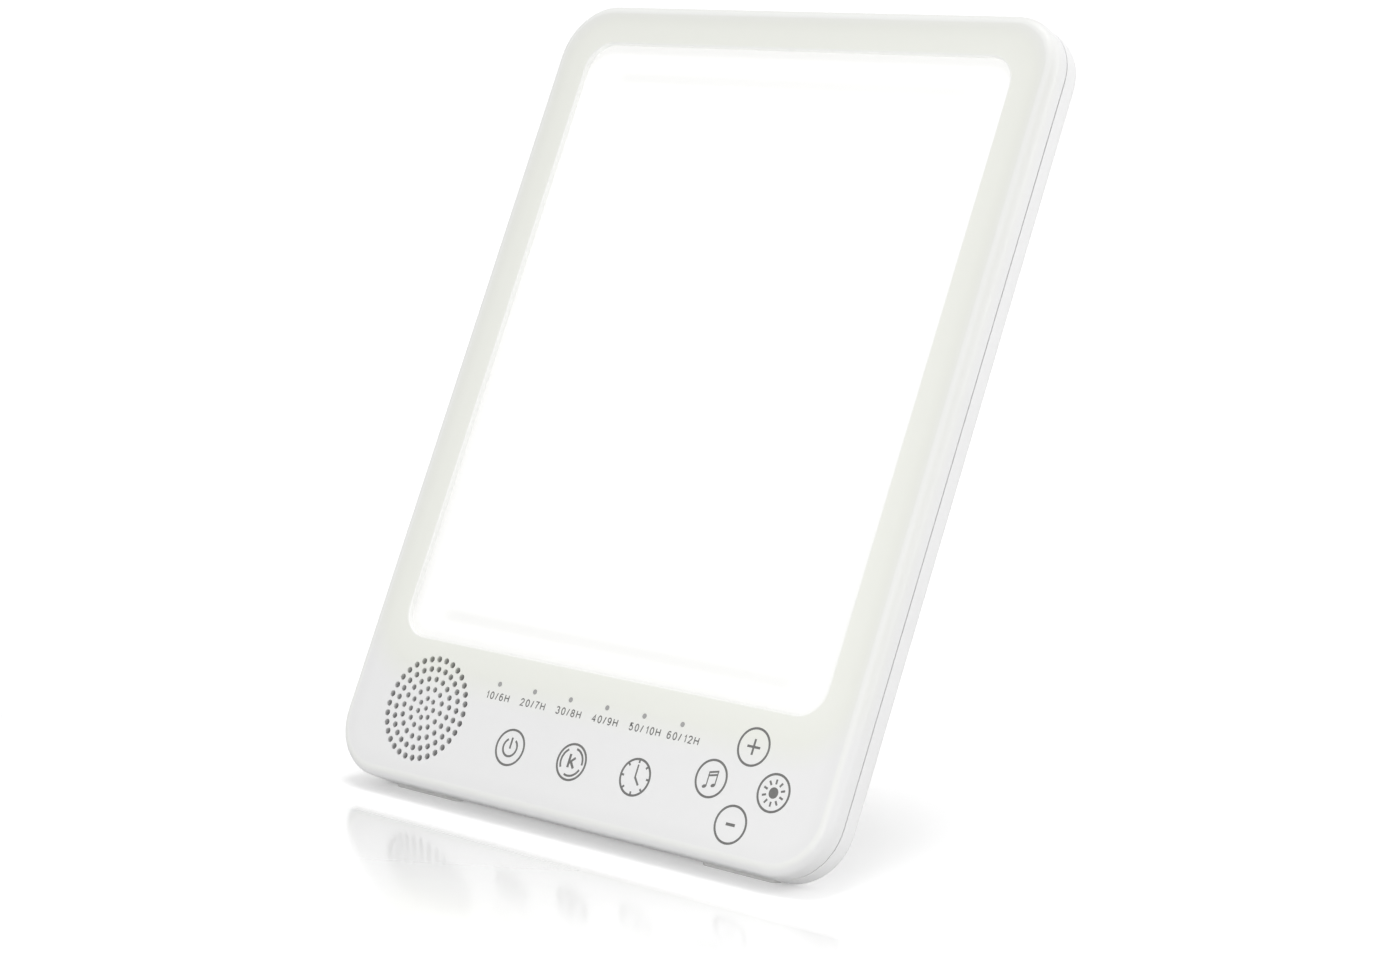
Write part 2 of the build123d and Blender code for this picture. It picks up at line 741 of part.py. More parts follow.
with BuildPart() as indicator_leds:
    for across in indicator_acrosses:
        block(across, indicator_up, indicator_led_size, indicator_led_size, pipe_bar_rear,
              touch_front)
keep(indicator_leds, "indicator_leds")


def chip(place, size, board_face, heading):
    """A flat chip with leads along both long sides; heading 1 stands it rearwards."""
    length, width = size
    block(*place, length, width, board_face, board_face + heading * chip_height)
    lead_count = int((length - chip_lead_width) // chip_lead_pitch)
    with BuildSketch(at_depth(board_face)) as leads:
        with Locations(place):
            with GridLocations(chip_lead_pitch, 1, lead_count, 1):
                Rectangle(chip_lead_width, width + 2 * chip_lead_reach)
    extrude(leads.sketch, amount=-heading * chip_lead_height)


with BuildPart() as touch_chip:
    chip(touch_chip_place, touch_chip_size, touch_rear, 1)
keep(touch_chip, "touch_chip")

link_front = touch_rear + link_socket_height
with BuildPart() as touch_connector:
    block(*on_main_board(link_place), link_length, link_width, touch_rear, link_front)
keep(touch_connector, "touch_connector")

# ======================= Main board =======================
with BuildPart() as main_board:
    span(main_board_left, main_board_right, main_board_low, main_board_high, main_front,
         main_rear, board_corner_radius)
    disc(standoff_places, small_shaft_radius + small_hole_clearance, main_front, main_rear,
         Mode.SUBTRACT)
keep(main_board, "main_board")

with BuildPart() as main_board_screws:
    screws(standoff_places, small_shaft_radius, small_head_radius, small_head_height, main_front,
           main_board_thickness + small_screw_grip - small_hole_clearance, -1)
keep(main_board_screws, "main_board_screws")

with BuildPart() as main_chips:
    chip(on_main_board(power_chip_place), power_chip_size, main_front, -1)
    chip(on_main_board(sound_chip_place), sound_chip_size, main_front, -1)
keep(main_chips, "main_chips")

with BuildPart() as power_coils:
    for place in coil_places:
        block(*on_main_board(place), coil_case_size, coil_case_size, main_front,
              main_front - coil_case_height, coil_case_radius)
keep(power_coils, "power_coils")

with BuildPart() as capacitors:
    for place in capacitor_places:
        capacitor_centre = panel_point(*on_main_board(place), main_front - capacitor_radius)
        capacitor_axis = Plane(origin=capacitor_centre, z_dir=(1, 0, 0))
        with BuildSketch(capacitor_axis):
            Circle(capacitor_radius)
        extrude(amount=capacitor_length / 2, both=True)
keep(capacitors, "capacitors")

with BuildPart() as resistors:
    with BuildSketch(at_depth(main_front)):
        with Locations(on_main_board(resistor_place)):
            with GridLocations(resistor_length, resistor_pitch, 1, resistor_count):
                Rectangle(resistor_length, resistor_width)
    extrude(amount=resistor_height)
keep(resistors, "resistors")

led_headers = [on_main_board(place) for place in led_header_places]
speaker_header = on_main_board(speaker_header_place)
inlet_header = on_main_board(inlet_header_place)
with BuildPart() as main_connectors:
    block(*on_main_board(link_place), link_length, link_width, link_front, main_front)
    for place in led_headers:
        block(*place, header_length, header_width, led_header_front, main_front)
    block(*speaker_header, header_length, header_width, speaker_header_front, main_front)
    block(*inlet_header, header_length, header_width, inlet_header_front, main_front)
keep(main_connectors, "main_connectors")

# ======================= Speaker =======================
cloth_rear = face_wall + cloth_thickness
basket_front = cloth_rear + gasket_thickness
flange_rear = basket_front + basket_flange_thickness
basket_rear = flange_rear + basket_depth
cup_inside = basket_body_radius - basket_wall
coil_inside = pole_radius + coil_gap
coil_outside = coil_inside + coil_thickness
gap_radius = coil_outside + coil_gap
magnet_rear = basket_rear + magnet_thickness
cone_front = basket_front + surround_thickness
speaker_profile = Plane(origin=panel_point(speaker_across, speaker_up, 0), x_dir=(1, 0, 0),
                        z_dir=face.y_dir)
speaker_axis = Axis(origin=speaker_profile.origin, direction=face.z_dir)

with BuildPart() as grille_cloth:
    disc([speaker_place], speaker_radius - cloth_margin, face_wall, cloth_rear)
keep(grille_cloth, "grille_cloth")

with BuildPart() as speaker_gasket:
    ring(speaker_place, speaker_radius - cloth_margin,
         speaker_radius - cloth_margin - gasket_width, cloth_rear, basket_front)
keep(speaker_gasket, "speaker_gasket")

with BuildPart() as speaker_basket:
    ring(speaker_place, speaker_radius, cup_inside, basket_front, flange_rear)
    ring(speaker_place, basket_body_radius, cup_inside, flange_rear, basket_rear)
    ring(speaker_place, basket_body_radius, gap_radius, basket_rear - basket_wall, basket_rear)
    window_front = flange_rear + basket_wall
    block(*speaker_place, 2 * speaker_radius, basket_window_width, window_front,
          window_front + basket_window_height, mode=Mode.SUBTRACT)
    block(*speaker_place, basket_window_width, 2 * speaker_radius, window_front,
          window_front + basket_window_height, mode=Mode.SUBTRACT)
keep(speaker_basket, "speaker_basket")

with BuildPart() as speaker_magnet:
    ring(speaker_place, magnet_radius, gap_radius, basket_rear, magnet_rear)
keep(speaker_magnet, "speaker_magnet")

with BuildPart() as speaker_yoke:
    disc([speaker_place], magnet_radius, magnet_rear, magnet_rear + yoke_thickness)
    disc([speaker_place], pole_radius, basket_rear - basket_wall, magnet_rear)
keep(speaker_yoke, "speaker_yoke")

cone_rear = cone_front + cone_slope
with BuildPart() as speaker_coil:
    ring(speaker_place, coil_outside, coil_inside, cone_rear, basket_rear + magnet_thickness / 2)
keep(speaker_coil, "speaker_coil")

with BuildPart() as speaker_cone:
    with BuildSketch(speaker_profile):
        with BuildLine():
            Polyline((0, cone_rear - cone_thickness), (coil_outside, cone_rear - cone_thickness),
                     (cone_radius, cone_front - cone_thickness), (cone_radius, cone_front),
                     (coil_outside, cone_rear), (0, cone_rear), close=True)
        make_face()
    revolve(axis=speaker_axis)
keep(speaker_cone, "speaker_cone")

with BuildPart() as speaker_surround:
    with BuildSketch(speaker_profile):
        roll_middle = (cone_radius + cup_inside) / 2
        lip_end = cup_inside + basket_wall
        lip_front = basket_front - surround_thickness
        with BuildLine():
            Polyline((lip_end, lip_front), (cup_inside, lip_front),
                     (roll_middle, lip_front + surround_height),
                     (cone_radius, lip_front), (cone_radius, basket_front),
                     (roll_middle, basket_front + surround_height),
                     (cup_inside, basket_front), (lip_end, basket_front), close=True)
        make_face()
    revolve(axis=speaker_axis)
keep(speaker_surround, "speaker_surround")

with BuildPart() as speaker_screws:
    screws(speaker_posts, small_shaft_radius, speaker_head_radius, small_head_height, flange_rear,
           small_screw_grip, 1)
keep(speaker_screws, "speaker_screws")

terminal_across = speaker_across + terminal_offset[0]
terminal_up = speaker_up + terminal_offset[1]
with BuildPart() as speaker_terminals:
    block(terminal_across, terminal_up, terminal_wide, terminal_tall, basket_rear,
          basket_rear + terminal_thickness)
keep(speaker_terminals, "speaker_terminals")

# ======================= Power inlet =======================
inlet_front = cover_inside - inlet_body_length
inlet_nose = panel_thickness - inlet_nose_recess
inlet_bore_end = inlet_nose - inlet_bore_depth
inlet_side = inlet_across - inlet_body_size / 2
with BuildPart() as power_inlet:
    block(inlet_across, inlet_up, inlet_body_size, inlet_body_size, inlet_front, cover_inside)
    disc([inlet_place], inlet_nose_radius, cover_inside, inlet_nose)
    disc([inlet_place], inlet_bore_radius, inlet_bore_end, inlet_nose, Mode.SUBTRACT)
keep(power_inlet, "power_inlet")

with BuildPart() as inlet_contacts:
    disc([inlet_place], inlet_pin_radius, inlet_bore_end, inlet_nose - inlet_pin_recess)
    for j in (-1, 1):
        block(inlet_side - inlet_tab_length / 2, inlet_up + j * inlet_lead_pitch / 2,
              inlet_tab_length, inlet_tab_width, inlet_lead_depth - wire_radius,
              inlet_lead_depth + wire_radius)
keep(inlet_contacts, "inlet_contacts")


def lead(*points):
    """A round lead through places on the panel, with tangent bends."""
    corners = [panel_point(*point) for point in points]
    with BuildLine() as route:
        if len(corners) == 2:
            Line(*corners)
        else:
            FilletPolyline(*corners, radius=wire_bend)
    with BuildSketch(Plane(origin=route.line @ 0, z_dir=route.line % 0)) as section:
        Circle(wire_radius)
    sweep(section.sketch, path=route.line)


led_lead_across = led_board_face + led_board_thickness / 2
with BuildPart() as led_leads:
    for side, (end_across, header_up) in zip((-1, 1), led_headers):
        for depth in led_lead_depths:
            lead((side * led_lead_across, led_board_low, depth),
                 (side * led_lead_across, led_lead_up, depth),
                 (end_across, led_lead_up, depth),
                 (end_across, header_up + header_width / 2, depth))
keep(led_leads, "led_leads")

with BuildPart() as speaker_leads:
    for j in (-1, 1):
        lead_up = terminal_up + j * speaker_lead_pitch / 2
        lead((terminal_across + terminal_wide / 2, lead_up, speaker_lead_depth),
             (speaker_header[0] - header_length / 2, lead_up, speaker_lead_depth))
keep(speaker_leads, "speaker_leads")

with BuildPart() as inlet_leads:
    for j in (-1, 1):
        lead_up = inlet_up + j * inlet_lead_pitch / 2
        lead((inlet_side - inlet_tab_length, lead_up, inlet_lead_depth),
             (inlet_header[0] + header_length / 2, lead_up, inlet_lead_depth))
keep(inlet_leads, "inlet_leads")

# ======================= Case screws and rubber feet =======================
with BuildPart() as case_screws:
    screws(case_screw_places, case_shaft_radius, case_head_radius, case_head_height,
           case_head_seat, case_screw_length, 1)
keep(case_screws, "case_screws")

with BuildPart() as rubber_feet:
    foot_pads(0)
keep(rubber_feet, "rubber_feet")

# ======================= Fold-out stand =======================
leg_end = leg_length - foot_block
leg_cell_width = (leg_width - 2 * leg_rim - leg_rib_count * leg_rib) / (leg_rib_count + 1)
leg_cell_low = leg_length - leg_pocket_end
foot_half = leg_width / 2 - foot_end_inset
with BuildPart() as stand_leg:
    with BuildSketch(leg_side) as leg_outline:
        with Locations(((leg_heel - leg_end) / 2, 0)):
            Rectangle(leg_heel + leg_end, leg_thickness)
        heel_corners = leg_outline.vertices().group_by(Axis.X)[-1]
        fillet(heel_corners.sort_by(Axis.Y)[0], radius=leg_corner_radius)
    extrude(amount=leg_width / 2, both=True)
    # cells between the ribs on the inner side
    with BuildSketch(leg_back.offset(leg_thickness / 2)):
        with Locations((0, -(leg_pocket_top + leg_cell_low) / 2)):
            with GridLocations(leg_cell_width + leg_rib, 1, leg_rib_count + 1, 1):
                Rectangle(leg_cell_width, leg_cell_low - leg_pocket_top)
    extrude(amount=leg_skin - leg_thickness, mode=Mode.SUBTRACT)
    # slot for the rubber foot's tongue
    with BuildSketch(leg_side):
        with Locations((foot_tongue_length / 2 - leg_end, 0)):
            Rectangle(foot_tongue_length, foot_tongue_thickness + 2 * foot_tongue_clearance)
    extrude(amount=foot_half + foot_tongue_clearance, both=True, mode=Mode.SUBTRACT)
    with BuildSketch(hinge_plane):
        Circle(pin_radius + pin_clearance)
    extrude(amount=leg_width / 2, both=True, mode=Mode.SUBTRACT)
    # flat on the heel that meets the pocket's floor when the stand is open
    block(0, hinge_up, leg_width, heel_flat_height, stop_depth - leg_thickness,
          stop_depth + stop_gap, mode=Mode.SUBTRACT)
keep(stand_leg, "stand_leg")

with BuildPart() as stand_foot:
    with BuildSketch(leg_side):
        with Locations((-leg_length, 0)):
            Circle(leg_thickness / 2)
        with Locations((foot_block / 2 - leg_length, 0)):
            Rectangle(foot_block, leg_thickness)
        with Locations(((foot_tongue_length - foot_tongue_clearance) / 2 - leg_end, 0)):
            Rectangle(foot_tongue_length - foot_tongue_clearance, foot_tongue_thickness)
    extrude(amount=foot_half, both=True)
keep(stand_foot, "stand_foot")

with BuildPart() as stand_pin:
    with BuildSketch(hinge_plane):
        Circle(pin_radius)
    extrude(amount=pin_reach, both=True)
keep(stand_pin, "stand_pin")

washer_gap = (leg_side_gap - washer_thickness) / 2
with BuildPart() as stand_washers:
    for side in (-1, 1):
        with BuildSketch(hinge_plane.offset(side * (leg_width / 2 + washer_gap))):
            Circle(washer_radius)
            Circle(pin_radius + pin_clearance, mode=Mode.SUBTRACT)
        extrude(amount=side * washer_thickness)
keep(stand_washers, "stand_washers")

with BuildPart() as hinge_caps:
    for side in (-1, 1):
        block(side * (recess_side + cap_width / 2 - cap_clearance / 2), hinge_up,
              cap_width - cap_clearance, cap_height - 2 * cap_clearance, hinge_depth,
              panel_thickness)
    with BuildSketch(hinge_plane):
        Circle(pin_radius + pin_clearance)
    extrude(amount=pin_reach + pin_clearance, both=True, mode=Mode.SUBTRACT)
    disc(cap_screw_places, small_shaft_radius + small_hole_clearance, hinge_depth,
         panel_thickness, Mode.SUBTRACT)
    disc(cap_screw_places, cap_head_radius + cap_head_clearance,
         panel_thickness - cap_head_height, panel_thickness, Mode.SUBTRACT)
keep(hinge_caps, "hinge_caps")

with BuildPart() as hinge_cap_screws:
    cap_head_seat = panel_thickness - cap_head_height
    screws(cap_screw_places, small_shaft_radius, cap_head_radius, cap_head_height, cap_head_seat,
           cap_head_seat - hinge_depth + cap_screw_length, 1)
keep(hinge_cap_screws, "hinge_cap_screws")
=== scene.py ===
import json
from math import cos, pi, radians, sin

import bmesh
import bpy
from mathutils import Euler, Matrix, Vector

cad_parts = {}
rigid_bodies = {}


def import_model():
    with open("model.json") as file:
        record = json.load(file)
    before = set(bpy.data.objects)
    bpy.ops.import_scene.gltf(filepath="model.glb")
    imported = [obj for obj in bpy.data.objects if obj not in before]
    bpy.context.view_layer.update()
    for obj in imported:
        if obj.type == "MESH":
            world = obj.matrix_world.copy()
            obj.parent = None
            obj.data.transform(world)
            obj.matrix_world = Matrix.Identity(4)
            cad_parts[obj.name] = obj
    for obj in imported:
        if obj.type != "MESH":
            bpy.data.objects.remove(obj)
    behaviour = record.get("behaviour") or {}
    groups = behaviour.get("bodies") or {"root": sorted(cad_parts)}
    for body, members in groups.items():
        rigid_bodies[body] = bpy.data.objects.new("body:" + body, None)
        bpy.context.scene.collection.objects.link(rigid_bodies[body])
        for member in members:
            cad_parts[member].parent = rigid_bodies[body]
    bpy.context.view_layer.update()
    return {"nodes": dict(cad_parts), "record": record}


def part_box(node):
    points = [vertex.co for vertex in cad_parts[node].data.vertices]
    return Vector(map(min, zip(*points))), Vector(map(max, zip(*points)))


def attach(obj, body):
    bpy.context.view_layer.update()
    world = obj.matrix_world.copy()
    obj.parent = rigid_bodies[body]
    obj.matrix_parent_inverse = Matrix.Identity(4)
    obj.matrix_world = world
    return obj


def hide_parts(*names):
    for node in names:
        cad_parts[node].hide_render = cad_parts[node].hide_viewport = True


# Light therapy lamp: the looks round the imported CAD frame. Blender works in metres, and the
# sizes on the panel are written in millimetres, as in the part's source.

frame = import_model()

MM = 0.001
PANEL = "panel"

# ---- The leaning panel: places on it are across, up and out, in millimetres ----
LEAN = radians(26.6)
PANEL_WIDTH = 192.0
PANEL_HEIGHT = 258.0
PANEL_CORNER = 18.0
WINDOW_WIDTH = 165.0
WINDOW_HEIGHT = 199.5
WINDOW_BOTTOM = 44.9
WINDOW_MIDDLE = WINDOW_BOTTOM + WINDOW_HEIGHT / 2
WINDOW_SPAN = (WINDOW_BOTTOM, WINDOW_BOTTOM + WINDOW_HEIGHT)
WINDOW_CORNER = 9.0
DIFFUSER_MIDDLE_DEPTH = 2.8

ACROSS = Vector((1.0, 0.0, 0.0))
UP = Vector((0.0, sin(LEAN), cos(LEAN)))
OUT = Vector((0.0, -cos(LEAN), sin(LEAN)))

diffuser_low, diffuser_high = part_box("diffuser_plate")
PANEL_ORIGIN = ((diffuser_low + diffuser_high) / 2 - UP * WINDOW_MIDDLE * MM
                + OUT * DIFFUSER_MIDDLE_DEPTH * MM)
PANEL_TO_WORLD = Matrix.Translation(PANEL_ORIGIN) @ Matrix((
    (ACROSS.x, UP.x, OUT.x), (ACROSS.y, UP.y, OUT.y), (ACROSS.z, UP.z, OUT.z))).to_4x4()

# ---- Printed marks: the keys and the legends on the front ----
KEY_ROW_UP = 17.75
KEY_ROW_PITCH = 24.85
KEY_ROW_MIDDLE = 0.25
CLUSTER_ACROSS = 63.25
CLUSTER_UP = 22.35
CLUSTER_ARM = 11.3
RING_RADIUS = 5.38
RING_LINE = 0.68
ICON_LINE = 0.66
INK_PROUD = 0.02
INK_ROOT = -0.01
INDICATOR_PITCH = 14.49
LEGENDS = ("10/6H", "20/7H", "30/8H", "40/9H", "50/10H", "60/12H")
LEGEND_BASELINE = 30.55
LEGEND_HEIGHT = 2.39
LEGEND_LEFT = -4.4
ONE_PAD = 0.5
LEGEND_LINE = 0.36
LEGEND_GAP = 0.66
DIGIT_WIDTH = 1.54
GLYPH_WIDTHS = {"1": 0.84, "/": 0.92, "H": 1.80}
SAME_POINT = 1e-6
ARC_STEP = radians(8)
# The least cosine of half a corner's turn, so that a sharp corner's mitre stays short.
LEAST_COSINE = 0.5

# ---- The mark inside each key, from the key's middle; a line is its two ends and its width ----
POWER_RADIUS = 2.69
POWER_ARC = (121, 417)
POWER_STROKE = (-0.35, 3.05)
KELVIN_RADIUS = 4.12
KELVIN_ARCS = ((123, 210), (-4, 81), (-111, -25))
KELVIN_LINES = (((-0.95, -1.75), (-0.95, 2.3), 0.82), ((-0.9, -0.45), (1.15, 1.45), 0.72),
                ((-0.25, 0.1), (1.25, -1.75), 0.82))
CLOCK_HANDS = (((0.0, -0.1), (0.0, 3.8), 0.55), ((-0.08, 0.1), (1.85, -2.1), 0.66))
CLOCK_TICKS = 8
CLOCK_TICK_LENGTH = 1.15
SHORT_STROKE_LINE = 0.62
PLUS_REACH = 2.31
PLUS_LINE = 0.7
MINUS_REACH = 1.62
MINUS_LINE = 0.86
NOTE_HEADS = ((-1.66, -2.5), (1.31, -1.8))
NOTE_HEAD_SIZE = (1.6, 1.0)
NOTE_HEAD_TILT = 24
NOTE_LEFT = -1.06
NOTE_RIGHT = 1.91
NOTE_STEMS = (((NOTE_LEFT, -2.4), (NOTE_LEFT, 1.9), 0.38),
              ((NOTE_RIGHT, -1.7), (NOTE_RIGHT, 2.6), 0.38))
NOTE_BEAM_HEIGHTS = (1.62, 0.66)
NOTE_BEAM_RISE = 0.78
NOTE_BEAM_END = 0.2
NOTE_BEAM_LINE = 0.56
SUN_RADIUS = 1.62
SUN_RAYS = 10
SUN_RAY_REACH = (2.5, 3.9)

# ---- Screws seen from behind: places across and up, seat behind the front face, and sizes as
# ---- head radius, head height, shaft radius and length
CASE_SCREW_PLACES = ((-60.0, 251.3), (0.0, 251.3), (60.0, 251.3), (-84.6, 11.0), (84.6, 11.0))
CASE_SCREW_SEAT = 13.5
CASE_SCREW_SIZES = (2.2, 1.5, 1.2, 8.0)
CAP_SCREW_PLACES = ((-35.0, 107.8), (-35.0, 116.2), (35.0, 107.8), (35.0, 116.2))
CAP_SCREW_SEAT = 14.6
CAP_SCREW_SIZES = (1.6, 0.8, 0.8, 3.3)
# A pan head's outline as shares of its radius and its height, from the top down.
PAN_HEAD = ((0.35, 1.0), (0.62, 0.97), (0.82, 0.86), (0.94, 0.68), (1.0, 0.45), (1.0, 0.1),
            (0.97, 0.0))
# The cross recess as shares of the head's radius and height.
CROSS_REACH = 0.58
CROSS_WIDTH = 0.11
CROSS_TOP = 1.2
CROSS_BOTTOM = 0.25
# The recess's bottom as shares of its top, and the screw's tip as shares of its shaft.
CROSS_BOTTOM_REACH = 0.45
CROSS_BOTTOM_WIDTH = 0.6
TIP_START = 0.75
TIP_END = 0.1
SCREW_SIDES = 32
SCREW_TURN = radians(37)
THREAD_PITCH = 0.8
THREAD_DEPTH = 0.22

# ---- Circuit boards ----
# Patches of tracks per metre, the tracks' pitch in millimetres, and a track's soft edge as a
# share of the pitch.
TRACK_PATCHES = 110.0
TRACK_PITCH = 0.9
TRACK_EDGE = (0.14, 0.19)
# The size in millimetres of the noise that parts the bundles of tracks, and the level it needs.
BUNDLE_SIZE = 7.0
BUNDLE_LEVEL = 0.42

# ---- Case: its colours, and the spans of distance that they change over ----
CASE_WHITE = (0.88, 0.88, 0.88, 1.0)
CASE_ROUGHNESS = 0.42
# Painted shadow in the joint of the shells: depth behind the front, and the least reach outwards.
SEAM_DEPTH = (6.6, 7.33)
SEAM_REACH = -3.0
SEAM_SHADOW_COLOUR = (0.22, 0.22, 0.22, 1.0)
# Light that leaks from the lit window into the front, by distance from the window and by depth.
FRONT_WARM = (0.865, 0.875, 0.82, 1.0)
WARM_SPAN = (8.0, 17.0)
WARM_DEPTH = (2.5, 5.5)
GLOW_SPAN = (0.0, 9.0)
GLOW = 1.04
# Painted highlight where the flat front meets its rounded edge, by distance past the outline.
RIDGE_INNER = (-3.4, -2.7)
RIDGE_OUTER = (-1.9, -1.0)
RIDGE_HIGHLIGHT_COLOUR = (0.895, 0.90, 0.88, 1.0)
# Painted highlight on the window's lip, by distance outside the window.
LIP_SPAN = (0.1, 0.7)
LIP_HIGHLIGHT_COLOUR = (0.965, 0.97, 0.95, 1.0)
# Painted shade, what it turns towards, and how far: the front near its outline, and the walls
# of the speaker grille's holes.
SHADE_COLOUR = (0.1, 0.1, 0.1, 1.0)
DISH_SPAN = (-8.0, -4.5)
DISH_SHADE = 0.025
GRILLE_MIDDLE = (-62.6, 23.4)
GRILLE_REACH = 18.0
HOLE_DEPTH = (0.1, 1.0)
HOLE_SHADE = 0.38

# ---- Lit window: the glow's strength, and how it varies ----
OPAL_LIGHT = (1.0, 1.0, 0.985, 1.0)
OPAL_GLOW = 0.35
OPAL_TILT = 0.02
# Faint lines near the window's top and bottom, where the light guide's edges lie behind it.
GUIDE_MIDDLE = 143.4
GUIDE_LINE = 90.1
GUIDE_LINE_FADE = (1.0, 3.6)
GUIDE_LINE_END = (66.0, 74.0)
GUIDE_LINE_DROP = 0.115
# The glow's drop towards the window's edge, and how much of it the bottom and the top get.
OPAL_EDGE = (-5.0, 0.0)
OPAL_EDGE_DROP = 0.13
OPAL_EDGE_LOW = 1.5
OPAL_EDGE_HIGH = 0.85

# ---- Studio: the camera in degrees and millimetres of lens, the rest in metres ----
CAMERA_PLACE = (0.59328, -0.69035, 0.26186)
CAMERA_TURN = (79.762, 0.0, 40.622)
CAMERA_LENS = 79.124
SENSOR_WIDTH = 36.0
CAMERA_FAR = 200.0
WORLD_LEVEL = 0.64
WHITE = (1.0, 1.0, 1.0, 1.0)
FLOOR_RADIUS = 40.0
FLOOR_SIDES = 64
FLOOR_BOUNCE = (0.62, 0.62, 0.62, 1.0)
# What the camera sees of the floor is lifted a little, and more far from the lamp.
FLOOR_LIFT = 0.21
FLOOR_FAR_LIFT = 0.50
FLOOR_FAR = (0.35, 1.2)
FLOOR_GLOSS_ROUGHNESS = 0.14
# The floor's gloss starts where the front's lower edge is mirrored, and fades towards the viewer.
GLOSS_START_Y = -0.0775
GLOSS_START_SOFT = 0.0035
GLOSS_FADE_WAY = (-0.5, 0.866, 0.0)
GLOSS_FULL_AT = -0.048
GLOSS_GONE_AT = -0.262
GLOSS_MOST = 0.90
# How far from the lamp the gloss begins to fade, and where it's gone.
GLOSS_FAR = (0.6, 1.2)
# A soft box is its name, its place, its aim, its size in metres and its power in watts.
SOFT_BOXES = (
    ("soft_overhead", (0.0, 0.15, 2.2), (0.0, 0.0, 0.0), 0.9, 13.0),
    ("soft_side", (1.4, 1.0, 0.5), (0.0, 0.0, 0.12), 1.2, 9.5),
    ("soft_front", (0.4, -0.9, 0.15), (0.03, -0.05, 0.05), 0.5, 2.8))


# ======================= Node helpers =======================
def new_material(name):
    """An empty node material: its tree, its Principled shader and its object coordinates."""
    material = bpy.data.materials.new(name)
    material.use_nodes = True
    tree = material.node_tree
    shader = tree.nodes["Principled BSDF"]
    place = tree.nodes.new("ShaderNodeTexCoord").outputs["Object"]
    return material, tree, shader, place


def add(tree, kind, links=(), **values):
    """A node with its properties and sockets set by name; links are (socket, output) pairs."""
    node = tree.nodes.new(kind)
    for name, value in values.items():
        if hasattr(node, name):
            setattr(node, name, value)
        else:
            node.inputs[name.replace("_", " ")].default_value = value
    for socket, output in links:
        tree.links.new(output, node.inputs[socket])
    return node


def noise(tree, place, size, detail=2.0, roughness=0.5):
    """Noise whose grains are about size millimetres across."""
    return add(tree, "ShaderNodeTexNoise", [("Vector", place)], Scale=1000 / size, Detail=detail,
               Roughness=roughness).outputs["Fac"]


def wave_scale(pitch):
    """The scale of a Wave texture whose bands are a pitch in millimetres apart."""
    return pi / 10 * 1000 / pitch


def spread(tree, value, low, high, start=0.3, end=0.7):
    """The value's start to end, mapped to low to high."""
    return add(tree, "ShaderNodeMapRange", [("Value", value)], From_Min=start, From_Max=end,
               To_Min=low, To_Max=high).outputs["Result"]


def math(tree, operation, *terms):
    """A Math node over outputs and plain numbers."""
    node = add(tree, "ShaderNodeMath", operation=operation)
    for socket, term in zip(node.inputs, terms):
        if isinstance(term, (int, float)):
            socket.default_value = term
        else:
            tree.links.new(term, socket)
    return node.outputs[0]


def mix_colours(tree, factor, first, second):
    """The first colour where the factor is 0 and the second where it is 1."""
    node = tree.nodes.new("ShaderNodeMix")
    node.data_type = "RGBA"
    colour_inputs = [socket for socket in node.inputs if socket.type == "RGBA"]
    tree.links.new(factor, node.inputs["Factor"])
    for socket, value in zip(colour_inputs, (first, second)):
        if isinstance(value, tuple):
            socket.default_value = value
        else:
            tree.links.new(value, socket)
    return next(socket for socket in node.outputs if socket.type == "RGBA")


def bump(tree, shader, height, depth):
    """Bumps of a depth in millimetres on the shader's normal."""
    node = add(tree, "ShaderNodeBump", [("Height", height)], Strength=1.0, Distance=depth * MM)
    tree.links.new(node.outputs["Normal"], shader.inputs["Normal"])


def uneven_gloss(tree, shader, place, patch, roughness):
    """Roughness that varies softly over patches of a size in millimetres."""
    sheen = noise(tree, place, patch, 3.0)
    tree.links.new(spread(tree, sheen, roughness - 0.04, roughness + 0.05),
                   shader.inputs["Roughness"])


def fade(tree, distance, low, high, span):
    """Low to high, as a distance in metres runs over a span in millimetres."""
    return spread(tree, distance, low, high, span[0] * MM, span[1] * MM)


def tone(colour, factor):
    """A colour made darker or lighter, always opaque."""
    return tuple(min(1.0, c * factor) for c in colour[:3]) + (1.0,)


def turned(tree, place, stretch):
    """Coordinates turned into the panel's own plane and stretched along across, up and out."""
    node = add(tree, "ShaderNodeMapping", [("Vector", place)], vector_type="POINT")
    node.inputs["Rotation"].default_value = (LEAN, 0.0, 0.0)
    node.inputs["Scale"].default_value = stretch
    return node.outputs["Vector"]


# ======================= Distances on the panel =======================
def along_panel(tree, place, direction):
    """How far a point lies from the panel's origin in a direction, in metres."""
    offset = add(tree, "ShaderNodeVectorMath", [(0, place)], operation="SUBTRACT")
    offset.inputs[1].default_value = PANEL_ORIGIN
    along = add(tree, "ShaderNodeVectorMath", [(0, offset.outputs[0])], operation="DOT_PRODUCT")
    along.inputs[1].default_value = direction
    return along.outputs["Value"]


def off_middle(tree, place, direction, middle):
    """How far a point lies from a line across the panel, on either side, in metres."""
    along = along_panel(tree, place, direction)
    return math(tree, "ABSOLUTE", math(tree, "SUBTRACT", along, middle * MM))


